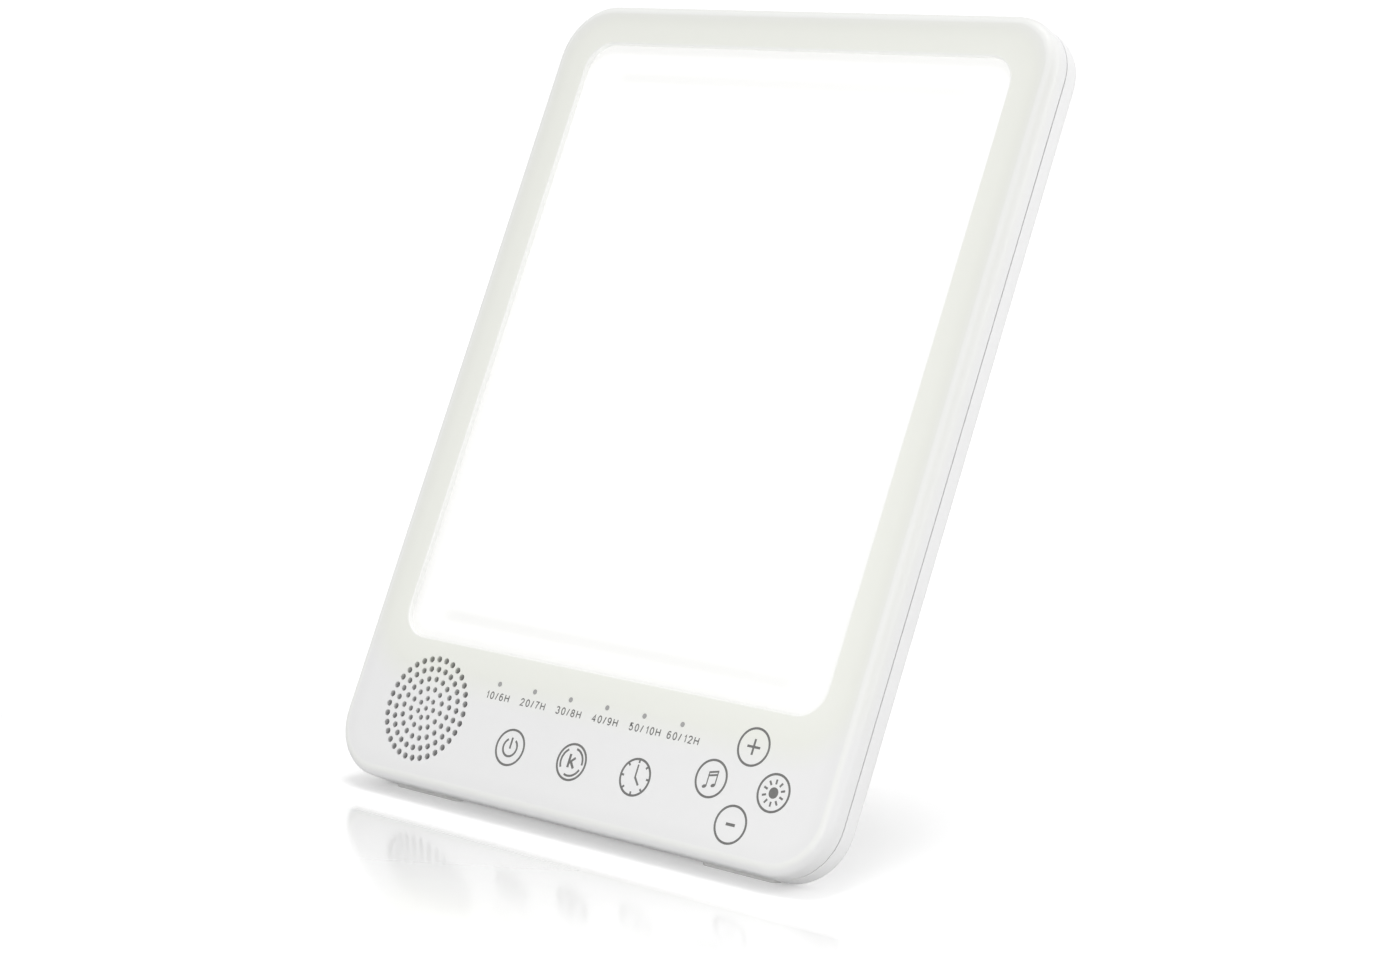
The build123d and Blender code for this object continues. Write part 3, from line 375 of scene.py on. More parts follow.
def outline_distance(tree, place, width, height, middle, corner):
    """Distance in metres outside a rounded outline on the panel, below zero inside it."""
    reach = []
    for direction, centre, half in ((ACROSS, 0.0, width / 2), (UP, middle, height / 2)):
        offset = off_middle(tree, place, direction, centre)
        reach.append(math(tree, "SUBTRACT", offset, (half - corner) * MM))
    outside = [math(tree, "MAXIMUM", value, 0.0) for value in reach]
    rounded = math(tree, "SQRT", math(tree, "ADD", math(tree, "MULTIPLY", outside[0], outside[0]),
                                      math(tree, "MULTIPLY", outside[1], outside[1])))
    inside = math(tree, "MINIMUM", math(tree, "MAXIMUM", reach[0], reach[1]), 0.0)
    return math(tree, "SUBTRACT", math(tree, "ADD", rounded, inside), corner * MM)


def window_distance(tree, place):
    """Distance outside the window's outline."""
    return outline_distance(tree, place, WINDOW_WIDTH, WINDOW_HEIGHT, WINDOW_MIDDLE, WINDOW_CORNER)


def case_distance(tree, place):
    """Distance outside the case's outline."""
    return outline_distance(tree, place, PANEL_WIDTH, PANEL_HEIGHT, PANEL_HEIGHT / 2, PANEL_CORNER)


def panel_depth(tree, place):
    """Depth in metres behind the panel's front face."""
    return along_panel(tree, place, -OUT)


def grille_distance(tree, place):
    """Distance from the middle of the speaker grille."""
    squares = []
    for direction, middle in zip((ACROSS, UP), GRILLE_MIDDLE):
        away = off_middle(tree, place, direction, middle)
        squares.append(math(tree, "MULTIPLY", away, away))
    return math(tree, "SQRT", math(tree, "ADD", *squares))


# ======================= Materials =======================
def moulded(name, colour, roughness, grain=0.35, depth=0.004, mottle=0.02, patch=28.0):
    """Injection-moulded plastic: fine spark-eroded grain, faint flow marks, uneven sheen."""
    material, tree, shader, place = new_material(name)
    flow = noise(tree, place, patch, 3.0)
    grain_height = noise(tree, place, grain, 4.0, 0.6)
    tint = mix_colours(tree, spread(tree, flow, 0.0, 1.0), tone(colour, 1 - mottle), colour)
    tree.links.new(tint, shader.inputs["Base Color"])
    uneven_gloss(tree, shader, place, patch / 4, roughness)
    bump(tree, shader, grain_height, depth)
    return material


def brushed(name, colour, roughness, stretch=(1.0, 40.0, 1.0), depth=0.003):
    """Rolled or turned metal: fine streaks in colour, gloss and height."""
    material, tree, shader, place = new_material(name)
    streaks = noise(tree, turned(tree, place, stretch), 3.0, 5.0, 0.65)
    stains = noise(tree, place, 9.0, 3.0)
    tint = mix_colours(tree, spread(tree, streaks, 0.0, 1.0), tone(colour, 0.86),
                       tone(colour, 1.06))
    tree.links.new(mix_colours(tree, spread(tree, stains, 0.0, 0.25), tint, tone(colour, 0.75)),
                   shader.inputs["Base Color"])
    shader.inputs["Metallic"].default_value = 1.0
    tree.links.new(spread(tree, streaks, roughness - 0.08, roughness + 0.12),
                   shader.inputs["Roughness"])
    bump(tree, shader, streaks, depth)
    return material


def board(name, mask, track):
    """A circuit board: solder mask over bundles of copper tracks that turn between patches."""
    material, tree, shader, place = new_material(name)
    flat = turned(tree, place, (1.0, 1.0, 0.0))
    patch = add(tree, "ShaderNodeTexVoronoi", [("Vector", flat)], feature="F1",
                distance="CHEBYCHEV", Scale=TRACK_PATCHES, Randomness=0.8)
    upright = math(tree, "GREATER_THAN", patch.outputs["Color"], 0.5)
    split = add(tree, "ShaderNodeSeparateXYZ", [("Vector", flat)])
    line = math(tree, "ADD", math(tree, "MULTIPLY", split.outputs["X"], upright),
                math(tree, "MULTIPLY", split.outputs["Y"], math(tree, "SUBTRACT", 1.0, upright)))
    phase = math(tree, "FRACT", math(tree, "DIVIDE", line, TRACK_PITCH * MM))
    off_middle_line = math(tree, "ABSOLUTE", math(tree, "SUBTRACT", phase, 0.5))
    bundle = math(tree, "GREATER_THAN", noise(tree, place, BUNDLE_SIZE, 1.0), BUNDLE_LEVEL)
    tracks = math(tree, "MULTIPLY", bundle, spread(tree, off_middle_line, 1.0, 0.0, *TRACK_EDGE))
    cloudy = noise(tree, place, 12.0, 3.0)
    ground = mix_colours(tree, spread(tree, cloudy, 0.0, 1.0), tone(mask, 0.85), tone(mask, 1.1))
    tree.links.new(mix_colours(tree, tracks, ground, track), shader.inputs["Base Color"])
    tree.links.new(spread(tree, tracks, 0.32, 0.24, 0.0, 1.0), shader.inputs["Roughness"])
    shader.inputs["Coat Weight"].default_value = 0.35
    shader.inputs["Coat Roughness"].default_value = 0.18
    bump(tree, shader, tracks, 0.03)
    return material


def rubber(name, colour, roughness=0.75, pores=0.5, depth=0.02):
    """Rubber or foam: matt, faintly dusty, with pores of a size in millimetres."""
    material, tree, shader, place = new_material(name)
    pits = noise(tree, place, pores, 5.0, 0.7)
    dust = noise(tree, place, 2.5, 4.0)
    tree.links.new(mix_colours(tree, spread(tree, dust, 0.0, 1.0), tone(colour, 0.94),
                               tone(colour, 1.06)), shader.inputs["Base Color"])
    tree.links.new(spread(tree, pits, roughness - 0.1, roughness + 0.1), shader.inputs["Roughness"])
    shader.inputs["Sheen Weight"].default_value = 0.15
    shader.inputs["Sheen Roughness"].default_value = 0.5
    bump(tree, shader, pits, depth)
    return material


def cloth(name, colour, pitch=0.45):
    """Open woven dust cloth: threads that cross over and under."""
    material, tree, shader, place = new_material(name)
    flat = turned(tree, place, (1.0, 1.0, 0.0))
    waves = []
    for direction in ("X", "Y"):
        node = add(tree, "ShaderNodeTexWave", [("Vector", flat)], wave_type="BANDS",
                   bands_direction=direction, Scale=wave_scale(pitch), Distortion=0.4)
        waves.append(node.outputs["Fac"])
    threads = math(tree, "MAXIMUM", waves[0], waves[1])
    tree.links.new(mix_colours(tree, threads, tone(colour, 0.35), tone(colour, 1.3)),
                   shader.inputs["Base Color"])
    shader.inputs["Roughness"].default_value = 0.85
    shader.inputs["Sheen Weight"].default_value = 0.3
    bump(tree, shader, threads, 0.12)
    return material


def clear(name, colour, roughness, lens_size, depth):
    """Clear or satin acrylic with a field of tiny lenses."""
    material, tree, shader, place = new_material(name)
    flat = turned(tree, place, (1.0, 1.0, 1.0))
    lenses = add(tree, "ShaderNodeTexVoronoi", [("Vector", flat)], Scale=1000 / lens_size,
                 Randomness=0.1).outputs["Distance"]
    haze = noise(tree, place, 20.0, 2.0)
    tree.links.new(mix_colours(tree, spread(tree, haze, 0.0, 1.0), tone(colour, 0.97), colour),
                   shader.inputs["Base Color"])
    tree.links.new(spread(tree, haze, roughness, roughness + 0.06), shader.inputs["Roughness"])
    shader.inputs["Transmission Weight"].default_value = 0.85
    shader.inputs["IOR"].default_value = 1.49
    bump(tree, shader, lenses, depth)
    return material


def grained(name, colour, roughness, size, depth, flecks=0.3):
    """Sintered, cast or pulp surfaces: coarse grain and flecks."""
    material, tree, shader, place = new_material(name)
    grain = noise(tree, place, size, 6.0, 0.7)
    tree.links.new(mix_colours(tree, spread(tree, grain, 0.0, 1.0), tone(colour, 1 - flecks),
                               tone(colour, 1 + flecks)), shader.inputs["Base Color"])
    tree.links.new(spread(tree, grain, roughness + 0.08, roughness - 0.08),
                   shader.inputs["Roughness"])
    bump(tree, shader, grain, depth)
    return material


def wound(name, colour, pitch=0.25):
    """Enamelled wire wound round the speaker's axis, turn beside turn."""
    material, tree, shader, place = new_material(name)
    flat = turned(tree, place, (1.0, 1.0, 1.0))
    turns = add(tree, "ShaderNodeTexWave", [("Vector", flat)], wave_type="BANDS",
                bands_direction="Z", Scale=wave_scale(pitch)).outputs["Fac"]
    tree.links.new(mix_colours(tree, turns, tone(colour, 0.45), tone(colour, 1.1)),
                   shader.inputs["Base Color"])
    shader.inputs["Metallic"].default_value = 0.85
    tree.links.new(spread(tree, turns, 0.5, 0.25, 0.0, 1.0), shader.inputs["Roughness"])
    bump(tree, shader, turns, 0.06)
    return material


def phosphor(name, colour):
    """The yellow phosphor face of a lit LED, grainy and softly glowing."""
    material, tree, shader, place = new_material(name)
    grain = noise(tree, place, 0.25, 4.0)
    tint = mix_colours(tree, spread(tree, grain, 0.0, 1.0), tone(colour, 0.9), tone(colour, 1.05))
    tree.links.new(tint, shader.inputs["Base Color"])
    tree.links.new(tint, shader.inputs["Emission Color"])
    shader.inputs["Emission Strength"].default_value = 0.6
    shader.inputs["Roughness"].default_value = 0.35
    bump(tree, shader, grain, 0.01)
    return material


def warm_white(tree, place, away, depth):
    """The case's white, warmer and a little lighter where the lit window shines through it."""
    near = math(tree, "MULTIPLY", fade(tree, away, 1.0, 0.0, WARM_SPAN),
                fade(tree, depth, 1.0, 0.0, WARM_DEPTH))
    glow = mix_colours(tree, fade(tree, away, 0.0, 1.0, GLOW_SPAN), tone(FRONT_WARM, GLOW),
                       FRONT_WARM)
    flow = noise(tree, place, 28.0, 3.0)
    plain = mix_colours(tree, spread(tree, flow, 0.0, 1.0), tone(CASE_WHITE, 0.99), CASE_WHITE)
    return mix_colours(tree, near, plain, glow)


def with_ridge_highlight(tree, edge, tint):
    """A tint with a painted highlight round the flat front, and painted shade near the outline."""
    # Painted highlight on the ridge band; painted shade near the outline.
    ridge = math(tree, "MULTIPLY", fade(tree, edge, 0.0, 1.0, RIDGE_INNER),
                 fade(tree, edge, 1.0, 0.0, RIDGE_OUTER))
    shaded = mix_colours(tree, fade(tree, edge, 0.0, DISH_SHADE, DISH_SPAN), tint, SHADE_COLOUR)
    return mix_colours(tree, ridge, shaded, RIDGE_HIGHLIGHT_COLOUR)


def with_hole_shade(tree, off_grille, depth, tint):
    """A tint with painted shade down the holes of the speaker grille."""
    # Painted shade down the grille's holes.
    in_grille = math(tree, "LESS_THAN", off_grille, GRILLE_REACH * MM)
    in_hole = math(tree, "MULTIPLY", in_grille, fade(tree, depth, 0.0, HOLE_SHADE, HOLE_DEPTH))
    return mix_colours(tree, in_hole, tint, SHADE_COLOUR)


def with_lip_highlight(tree, away, tint):
    """A tint with a painted highlight on the window's lip."""
    # Painted highlight on the window's lip.
    return mix_colours(tree, fade(tree, away, 1.0, 0.0, LIP_SPAN), tint, LIP_HIGHLIGHT_COLOUR)


def front_plastic(name):
    """The white front, painted with glow by the window, highlights on ridge and lip, shade in
    grille holes.
    """
    material, tree, shader, place = new_material(name)
    away = window_distance(tree, place)
    depth = panel_depth(tree, place)
    tint = warm_white(tree, place, away, depth)
    tint = with_ridge_highlight(tree, case_distance(tree, place), tint)
    tint = with_hole_shade(tree, grille_distance(tree, place), depth, tint)
    tree.links.new(with_lip_highlight(tree, away, tint), shader.inputs["Base Color"])
    uneven_gloss(tree, shader, place, 7.0, CASE_ROUGHNESS)
    bump(tree, shader, noise(tree, place, 0.3, 4.0, 0.6), 0.003)
    return material


def lit_opal(name, colour):
    """The lit opal diffuser: even light that falls off a little towards the window's edge."""
    material, tree, shader, place = new_material(name)
    edge = window_distance(tree, place)
    height = along_panel(tree, place, UP)
    near_edge = math(tree, "MULTIPLY", fade(tree, edge, 0.0, OPAL_EDGE_DROP, OPAL_EDGE),
                     fade(tree, height, OPAL_EDGE_LOW, OPAL_EDGE_HIGH, WINDOW_SPAN))
    off_guide = off_middle(tree, place, UP, GUIDE_MIDDLE)
    off_line = math(tree, "ABSOLUTE", math(tree, "SUBTRACT", off_guide, GUIDE_LINE * MM))
    along_line = off_middle(tree, place, ACROSS, 0.0)
    line = math(tree, "MULTIPLY", fade(tree, off_line, 1.0, 0.0, GUIDE_LINE_FADE),
                fade(tree, along_line, 1.0, 0.0, GUIDE_LINE_END))
    dimmer = math(tree, "ADD", near_edge, math(tree, "MULTIPLY", line, GUIDE_LINE_DROP))
    strength = fade(tree, height, OPAL_GLOW - OPAL_TILT, OPAL_GLOW + OPAL_TILT, WINDOW_SPAN)
    tree.links.new(math(tree, "SUBTRACT", strength, dimmer), shader.inputs["Emission Strength"])
    shader.inputs["Emission Color"].default_value = OPAL_LIGHT
    haze = noise(tree, place, 30.0, 2.0)
    tree.links.new(mix_colours(tree, haze, tone(colour, 0.98), colour),
                   shader.inputs["Base Color"])
    shader.inputs["Roughness"].default_value = 0.42
    bump(tree, shader, noise(tree, place, 0.5, 3.0), 0.002)
    return material


def case_plastic(name):
    """The case's plain satin white."""
    return moulded(name, CASE_WHITE, CASE_ROUGHNESS, grain=0.3, depth=0.003, mottle=0.012)


def cover_plastic(name):
    """The case's white with a painted shadow line where the cover meets the front."""
    cover = case_plastic(name)
    tree = cover.node_tree
    colour = tree.nodes["Principled BSDF"].inputs["Base Color"]
    plain = colour.links[0].from_socket
    place = tree.nodes["Texture Coordinate"].outputs["Object"]
    depth = panel_depth(tree, place)
    # Painted shadow in the joint between the shells.
    in_joint = math(tree, "MULTIPLY", math(tree, "GREATER_THAN", depth, SEAM_DEPTH[0] * MM),
                    math(tree, "LESS_THAN", depth, SEAM_DEPTH[1] * MM))
    outside = math(tree, "GREATER_THAN", case_distance(tree, place), SEAM_REACH * MM)
    seam_shadow = math(tree, "MULTIPLY", in_joint, outside)
    tree.links.new(mix_colours(tree, seam_shadow, plain, SEAM_SHADOW_COLOUR), colour)
    return cover


def make_shell_finishes():
    """The two shells' own finishes: the lit front, and the cover with painted shadow in its joint.
    """
    return {"rear_cover": cover_plastic("cover_white"),
            "front_shell": front_plastic("front_white")}


def make_materials():
    """One finish for each material slot in the record."""
    return {
        # Case and light stack.
        "white_abs": case_plastic("case_white"),
        "opal_acrylic": lit_opal("opal_lit", (0.80, 0.80, 0.79, 1.0)),
        "clear_film": clear("prism_film", (0.96, 0.97, 0.98, 1.0), 0.18, lens_size=0.6, depth=0.03),
        "clear_acrylic": clear("light_guide_clear", (0.95, 0.98, 0.97, 1.0), 0.04, lens_size=1.6,
                               depth=0.02),
        "white_sheet": moulded("reflector_white", (0.93, 0.93, 0.93, 1.0), 0.6, grain=0.8,
                               depth=0.01),
        "aluminium_sheet": brushed("aluminium_mill", (0.80, 0.81, 0.82, 1.0), 0.34),
        "led_board": board("led_board_white", (0.86, 0.87, 0.86, 1.0), (0.74, 0.75, 0.74, 1.0)),
        "led": phosphor("led_phosphor", (0.95, 0.85, 0.42, 1.0)),
        # Boards and touch keys.
        "circuit_board": board("board_green", (0.02, 0.16, 0.06, 1.0), (0.04, 0.28, 0.11, 1.0)),
        "chip_black": moulded("chip_epoxy", (0.035, 0.035, 0.038, 1.0), 0.5, grain=0.15,
                              depth=0.006, mottle=0.2, patch=3.0),
        "connector_ivory": moulded("connector_nylon", (0.80, 0.76, 0.62, 1.0), 0.45, grain=0.3,
                                   depth=0.006, mottle=0.06, patch=5.0),
        "ferrite": grained("ferrite_grey", (0.085, 0.085, 0.09, 1.0), 0.6, size=0.4, depth=0.02),
        "capacitor_can": brushed("can_aluminium", (0.70, 0.71, 0.73, 1.0), 0.3,
                                 stretch=(40.0, 1.0, 1.0)),
        "conductive_foam": rubber("pad_foam", (0.09, 0.09, 0.095, 1.0), 0.85, pores=0.6,
                                  depth=0.08),
        "light_pipe": moulded("pipe_grey", (0.40, 0.40, 0.395, 1.0), 0.3, grain=0.2, depth=0.002,
                              mottle=0.1, patch=2.0),
        # Speaker and fasteners.
        "cloth": cloth("dust_cloth", (0.02, 0.02, 0.021, 1.0)),
        "foam_black": rubber("gasket_foam", (0.05, 0.05, 0.05, 1.0), 0.9, pores=0.5, depth=0.1),
        "speaker_frame": grained("frame_enamel", (0.05, 0.05, 0.055, 1.0), 0.4, size=0.6,
                                 depth=0.006, flecks=0.15),
        "steel": brushed("zinc_steel", (0.66, 0.66, 0.67, 1.0), 0.3, stretch=(12.0, 12.0, 1.0)),
        "copper": wound("coil_copper", (0.72, 0.33, 0.16, 1.0)),
        "paper_black": grained("cone_pulp", (0.045, 0.045, 0.048, 1.0), 0.85, size=0.8, depth=0.05,
                               flecks=0.4),
        "rubber_black": rubber("surround_rubber", (0.035, 0.035, 0.035, 1.0), 0.6),
        # Power, feet and stand.
        "inlet_black": moulded("inlet_plastic", (0.03, 0.03, 0.032, 1.0), 0.42, grain=0.25,
                               depth=0.006, mottle=0.2, patch=4.0),
        "contact": brushed("nickel_contact", (0.78, 0.74, 0.62, 1.0), 0.22,
                           stretch=(1.0, 1.0, 30.0)),
        "lead_red": rubber("lead_sleeve", (0.45, 0.03, 0.025, 1.0), 0.45, pores=0.3, depth=0.005),
        "foot_rubber": rubber("foot_pale_rubber", (0.66, 0.66, 0.65, 1.0), 0.7, pores=0.4,
                              depth=0.015),
        "nylon": moulded("washer_nylon", (0.85, 0.85, 0.80, 1.0), 0.4, grain=0.4, depth=0.004,
                         mottle=0.04, patch=4.0),
    }


# ======================= Mesh helpers =======================
def band(bm, first, second):
    """A closed band of faces between two loops with as many points each."""
    for n in range(len(first)):
        m = (n + 1) % len(first)
        bm.faces.new((first[n], first[m], second[m], second[n]))


def closed_object(bm, name):
    """The object of a closed mesh, with its faces turned outwards."""
    bmesh.ops.recalc_face_normals(bm, faces=bm.faces)
    mesh = bpy.data.meshes.new(name)
    bm.to_mesh(mesh)
    bm.free()
    return bpy.data.objects.new(name, mesh)


def with_modifiers(thing):
    """A new mesh of an object with its modifiers applied."""
    bpy.context.view_layer.update()
    shaped = thing.evaluated_get(bpy.context.evaluated_depsgraph_get())
    return bpy.data.meshes.new_from_object(shaped)


# ======================= Flat printed shapes =======================
# A shape is a pair: its outline and the outline of its hole, or None where it has none.
def arc(centre, wide, tall, start, end):
    """Points along an arc of an ellipse with half sizes wide and tall, angles in degrees."""
    start, end = radians(start), radians(end)
    count = max(3, round(abs(end - start) / ARC_STEP) + 1)
    angles = [start + (end - start) * n / (count - 1) for n in range(count)]
    return [(centre[0] + wide * cos(a), centre[1] + tall * sin(a)) for a in angles]


def side_shift(points, reach, closed):
    """The points moved sideways by reach, with mitred corners."""
    moved = []
    count = len(points)
    for n, point in enumerate(points):
        before = points[n - 1] if closed or n else None
        after = points[(n + 1) % count] if closed or n < count - 1 else None
        ways = [(Vector(b) - Vector(a)).normalized()
                for a, b in ((before, point), (point, after)) if a and b]
        along = sum(ways, Vector((0.0, 0.0))).normalized()
        mitre = reach / max(LEAST_COSINE, along.dot(ways[0]))
        moved.append((point[0] - along.y * mitre, point[1] + along.x * mitre))
    return moved


def stroke(points, width):
    """A line of a width along points."""
    return (side_shift(points, width / 2, False) + side_shift(points, -width / 2, False)[::-1],
            None)


def loop_stroke(points, width):
    """A closed line of a width along points that run anticlockwise."""
    return side_shift(points, -width / 2, True), side_shift(points, width / 2, True)


def circle(centre, radius):
    """A round spot."""
    return arc(centre, radius, radius, 0, 360)[:-1], None


def ring(centre, radius, width):
    """A round line."""
    return loop_stroke(arc(centre, radius, radius, 0, 360)[:-1], width)


def oval(centre, wide, tall, tilt):
    """A tilted ellipse with full sizes wide and tall."""
    turn = Matrix.Rotation(radians(tilt), 2)
    return [tuple(Vector(centre) + turn @ Vector(p))
            for p in arc((0.0, 0.0), wide / 2, tall / 2, 0, 360)[:-1]], None


def spokes(centre, start, end, count, width):
    """Short radial strokes at even turns, the first one upwards."""
    shapes = []
    for n in range(count):
        turn = radians(90 + n * 360 / count)
        way = Vector((cos(turn), sin(turn)))
        shapes.append(stroke([tuple(Vector(centre) + way * r) for r in (start, end)], width))
    return shapes


def prism(shape, name):
    """A shape made into a closed solid as thick as the ink, in millimetres."""
    bm = bmesh.new()
    outline, hole = shape
    walls = [[[bm.verts.new((x, y, z)) for x, y in points] for z in (INK_ROOT, INK_PROUD)]
             for points in (outline, hole) if points]
    for low, high in walls:
        band(bm, low, high)
    for level in (0, 1):
        if hole:
            band(bm, walls[0][level], walls[1][level])
        else:
            bm.faces.new(walls[0][level])
    return closed_object(bm, name)


def united(shapes, name):
    """The shapes joined into one closed mesh, in millimetres."""
    parts = [prism(shape, name + "_part") for shape in shapes]
    scene_collection = bpy.context.scene.collection
    others = bpy.data.collections.new(name + "_parts")
    scene_collection.children.link(others)
    scene_collection.objects.link(parts[0])
    for part in parts[1:]:
        others.objects.link(part)
    if len(parts) > 1:
        join = parts[0].modifiers.new("join", "BOOLEAN")
        join.operation = "UNION"
        join.solver = "EXACT"
        join.operand_type = "COLLECTION"
        join.collection = others
    mesh = with_modifiers(parts[0])
    mesh.name = name
    for part in parts:
        bpy.data.objects.remove(part)
    bpy.data.collections.remove(others)
    return mesh


def ink_piece(name, ink, shapes):
    """Shapes printed on the panel's face as one piece."""
    mesh = united(shapes, name)
    mesh.transform(PANEL_TO_WORLD @ Matrix.Diagonal((MM, MM, MM, 1.0)))
    mesh.materials.clear()
    mesh.materials.append(ink)
    piece = bpy.data.objects.new(name, mesh)
    bpy.context.scene.collection.objects.link(piece)
    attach(piece, PANEL)


def lines_from(x, y, lines):
    """Straight strokes whose ends are given from a middle."""
    return [stroke([(x + start[0], y + start[1]), (x + end[0], y + end[1])], width)
            for start, end, width in lines]


def power_mark(x, y):
    """A broken circle with a stroke through its gap."""
    bottom, top = POWER_STROKE
    return [stroke(arc((x, y), POWER_RADIUS, POWER_RADIUS, *POWER_ARC), ICON_LINE),
            stroke([(x, y + bottom), (x, y + top)], ICON_LINE)]


def temperature_mark(x, y):
    """A letter k for the light's colour temperature, inside three turning arcs."""
    arcs = [stroke(arc((x, y), KELVIN_RADIUS, KELVIN_RADIUS, *turn), ICON_LINE)
            for turn in KELVIN_ARCS]
    return arcs + lines_from(x, y, KELVIN_LINES)


def timer_mark(x, y):
    """Clock hands and ticks."""
    return lines_from(x, y, CLOCK_HANDS) + spokes((x, y), RING_RADIUS - CLOCK_TICK_LENGTH,
                                                  RING_RADIUS, CLOCK_TICKS, SHORT_STROKE_LINE)


def plus_mark(x, y):
    """A plus sign."""
    return lines_from(x, y, (((-PLUS_REACH, 0.0), (PLUS_REACH, 0.0), PLUS_LINE),
                             ((0.0, -PLUS_REACH), (0.0, PLUS_REACH), PLUS_LINE)))


def minus_mark(x, y):
    """A minus sign."""
    return lines_from(x, y, (((-MINUS_REACH, 0.0), (MINUS_REACH, 0.0), MINUS_LINE),))


def music_mark(x, y):
    """Two joined semiquavers."""
    heads = [oval((x + across, y + up), *NOTE_HEAD_SIZE, NOTE_HEAD_TILT)
             for across, up in NOTE_HEADS]
    left, right = x + NOTE_LEFT - NOTE_BEAM_END, x + NOTE_RIGHT + NOTE_BEAM_END
    beams = [stroke([(left, y + up), (right, y + up + NOTE_BEAM_RISE)], NOTE_BEAM_LINE)
             for up in NOTE_BEAM_HEIGHTS]
    return heads + lines_from(x, y, NOTE_STEMS) + beams


def brightness_mark(x, y):
    """A small sun."""
    return [circle((x, y), SUN_RADIUS)] + spokes((x, y), *SUN_RAY_REACH, SUN_RAYS,
                                                 SHORT_STROKE_LINE)


def make_key_prints(ink):
    """The seven touch keys: a ring and a mark for each."""
    keys = (("key_power", KEY_ROW_MIDDLE - KEY_ROW_PITCH, KEY_ROW_UP, power_mark),
            ("key_temperature", KEY_ROW_MIDDLE, KEY_ROW_UP, temperature_mark),
            ("key_timer", KEY_ROW_MIDDLE + KEY_ROW_PITCH, KEY_ROW_UP, timer_mark),
            ("key_sound", CLUSTER_ACROSS - CLUSTER_ARM, CLUSTER_UP, music_mark),
            ("key_brightness", CLUSTER_ACROSS + CLUSTER_ARM, CLUSTER_UP, brightness_mark),
            ("key_plus", CLUSTER_ACROSS, CLUSTER_UP + CLUSTER_ARM, plus_mark),
            ("key_minus", CLUSTER_ACROSS, CLUSTER_UP - CLUSTER_ARM, minus_mark))
    for name, across, up, mark in keys:
        ink_piece(name, ink, [ring((across, up), RING_RADIUS, RING_LINE)] + mark(across, up))


def glyph_lines(letter):
    """Centre lines of a numeral, a slash or an H in a box one wide and one tall.

    A loop's line ends where it starts."""
    if letter == "9":
        return [[(1 - x, 1 - y) for x, y in line] for line in glyph_lines("6")]
    return {
        "0": [arc((0.5, 0.5), 0.5, 0.5, 0, 360)],
        "1": [[(0.0, 0.72), (0.85, 1.0), (0.85, 0.0)]],
        "2": [arc((0.5, 0.71), 0.47, 0.29, 172, -28) + [(0.0, 0.0), (1.0, 0.0)]],
        "3": [arc((0.48, 0.76), 0.44, 0.24, 160, -85), arc((0.48, 0.27), 0.5, 0.27, 85, -160)],
        "4": [[(0.74, 0.0), (0.74, 1.0), (0.0, 0.3), (1.0, 0.3)]],
        "5": [[(0.92, 1.0), (0.2, 1.0), (0.07, 0.5)]
              + arc((0.48, 0.32), 0.5, 0.32, 140, -158)],
        "6": [arc((0.5, 0.31), 0.48, 0.31, 0, 360), arc((0.56, 0.48), 0.54, 0.52, 52, 196)],
        "7": [[(0.0, 1.0), (1.0, 1.0), (0.55, 0.5), (0.34, 0.0)]],
        "8": [arc((0.5, 0.76), 0.42, 0.24, 0, 360), arc((0.5, 0.27), 0.5, 0.27, 0, 360)],
        "/": [[(0.0, 0.0), (1.0, 1.0)]],
        "H": [[(0.0, 0.0), (0.0, 1.0)], [(1.0, 0.0), (1.0, 1.0)], [(0.0, 0.52), (1.0, 0.52)]],
    }[letter]


def make_legends(ink):
    """The timer numbers under the six indicators."""
    for n, text in enumerate(LEGENDS):
        left = (n - (len(LEGENDS) - 1) / 2) * INDICATOR_PITCH + LEGEND_LEFT
        shapes = []
        for letter in text:
            wide = GLYPH_WIDTHS.get(letter, DIGIT_WIDTH)
            left += ONE_PAD if letter == "1" else 0.0
            for line in glyph_lines(letter):
                points = [(left + LEGEND_LINE / 2 + x * (wide - LEGEND_LINE),
                           LEGEND_BASELINE + LEGEND_LINE / 2 + y * (LEGEND_HEIGHT - LEGEND_LINE))
                          for x, y in line]
                looped = (Vector(line[0]) - Vector(line[-1])).length < SAME_POINT
                shapes.append(loop_stroke(points[:-1], LEGEND_LINE) if looped
                              else stroke(points, LEGEND_LINE))
            left += wide + LEGEND_GAP
        ink_piece("legend_" + text.replace("/", "_"), ink, shapes)


# ======================= Dressing the CAD nodes =======================
def dress_nodes(finishes, shell_finishes):
    """Gives each carried-over CAD node the finish of its slot, and the two shells their own."""
    for row in frame["record"]["subparts"]:
        node = frame["nodes"][row["node"]]
        node.data.materials.clear()
        node.data.materials.append(shell_finishes.get(row["node"], finishes[row["material_slot"]]))


# ======================= Screws =======================
def screw_profile(head_radius, head_height, shaft_radius, length):
    """Radius and height along a pan-head screw, from the head's top to the tip."""
    profile = [(head_radius * r, head_height * z) for r, z in PAN_HEAD]
    profile.append((shaft_radius, 0.0))
    along = -THREAD_PITCH
    while along > THREAD_PITCH * 1.5 - length:
        profile += [(shaft_radius - THREAD_DEPTH, along + THREAD_PITCH / 4), (shaft_radius, along)]
        along -= THREAD_PITCH / 2
    return profile + [(shaft_radius * TIP_START, THREAD_PITCH - length),
                      (shaft_radius * TIP_END, -length)]


def lathe(profile, name):
    """A closed solid turned about the z axis, in millimetres."""
    bm = bmesh.new()
    angles = [2 * pi * n / SCREW_SIDES for n in range(SCREW_SIDES)]
    rings = [[bm.verts.new((r * cos(a), r * sin(a), z)) for a in angles] for r, z in profile]
    for upper, lower in zip(rings, rings[1:]):
        band(bm, upper, lower)
    bm.faces.new(rings[0])
    bm.faces.new(rings[-1])
    return closed_object(bm, name)


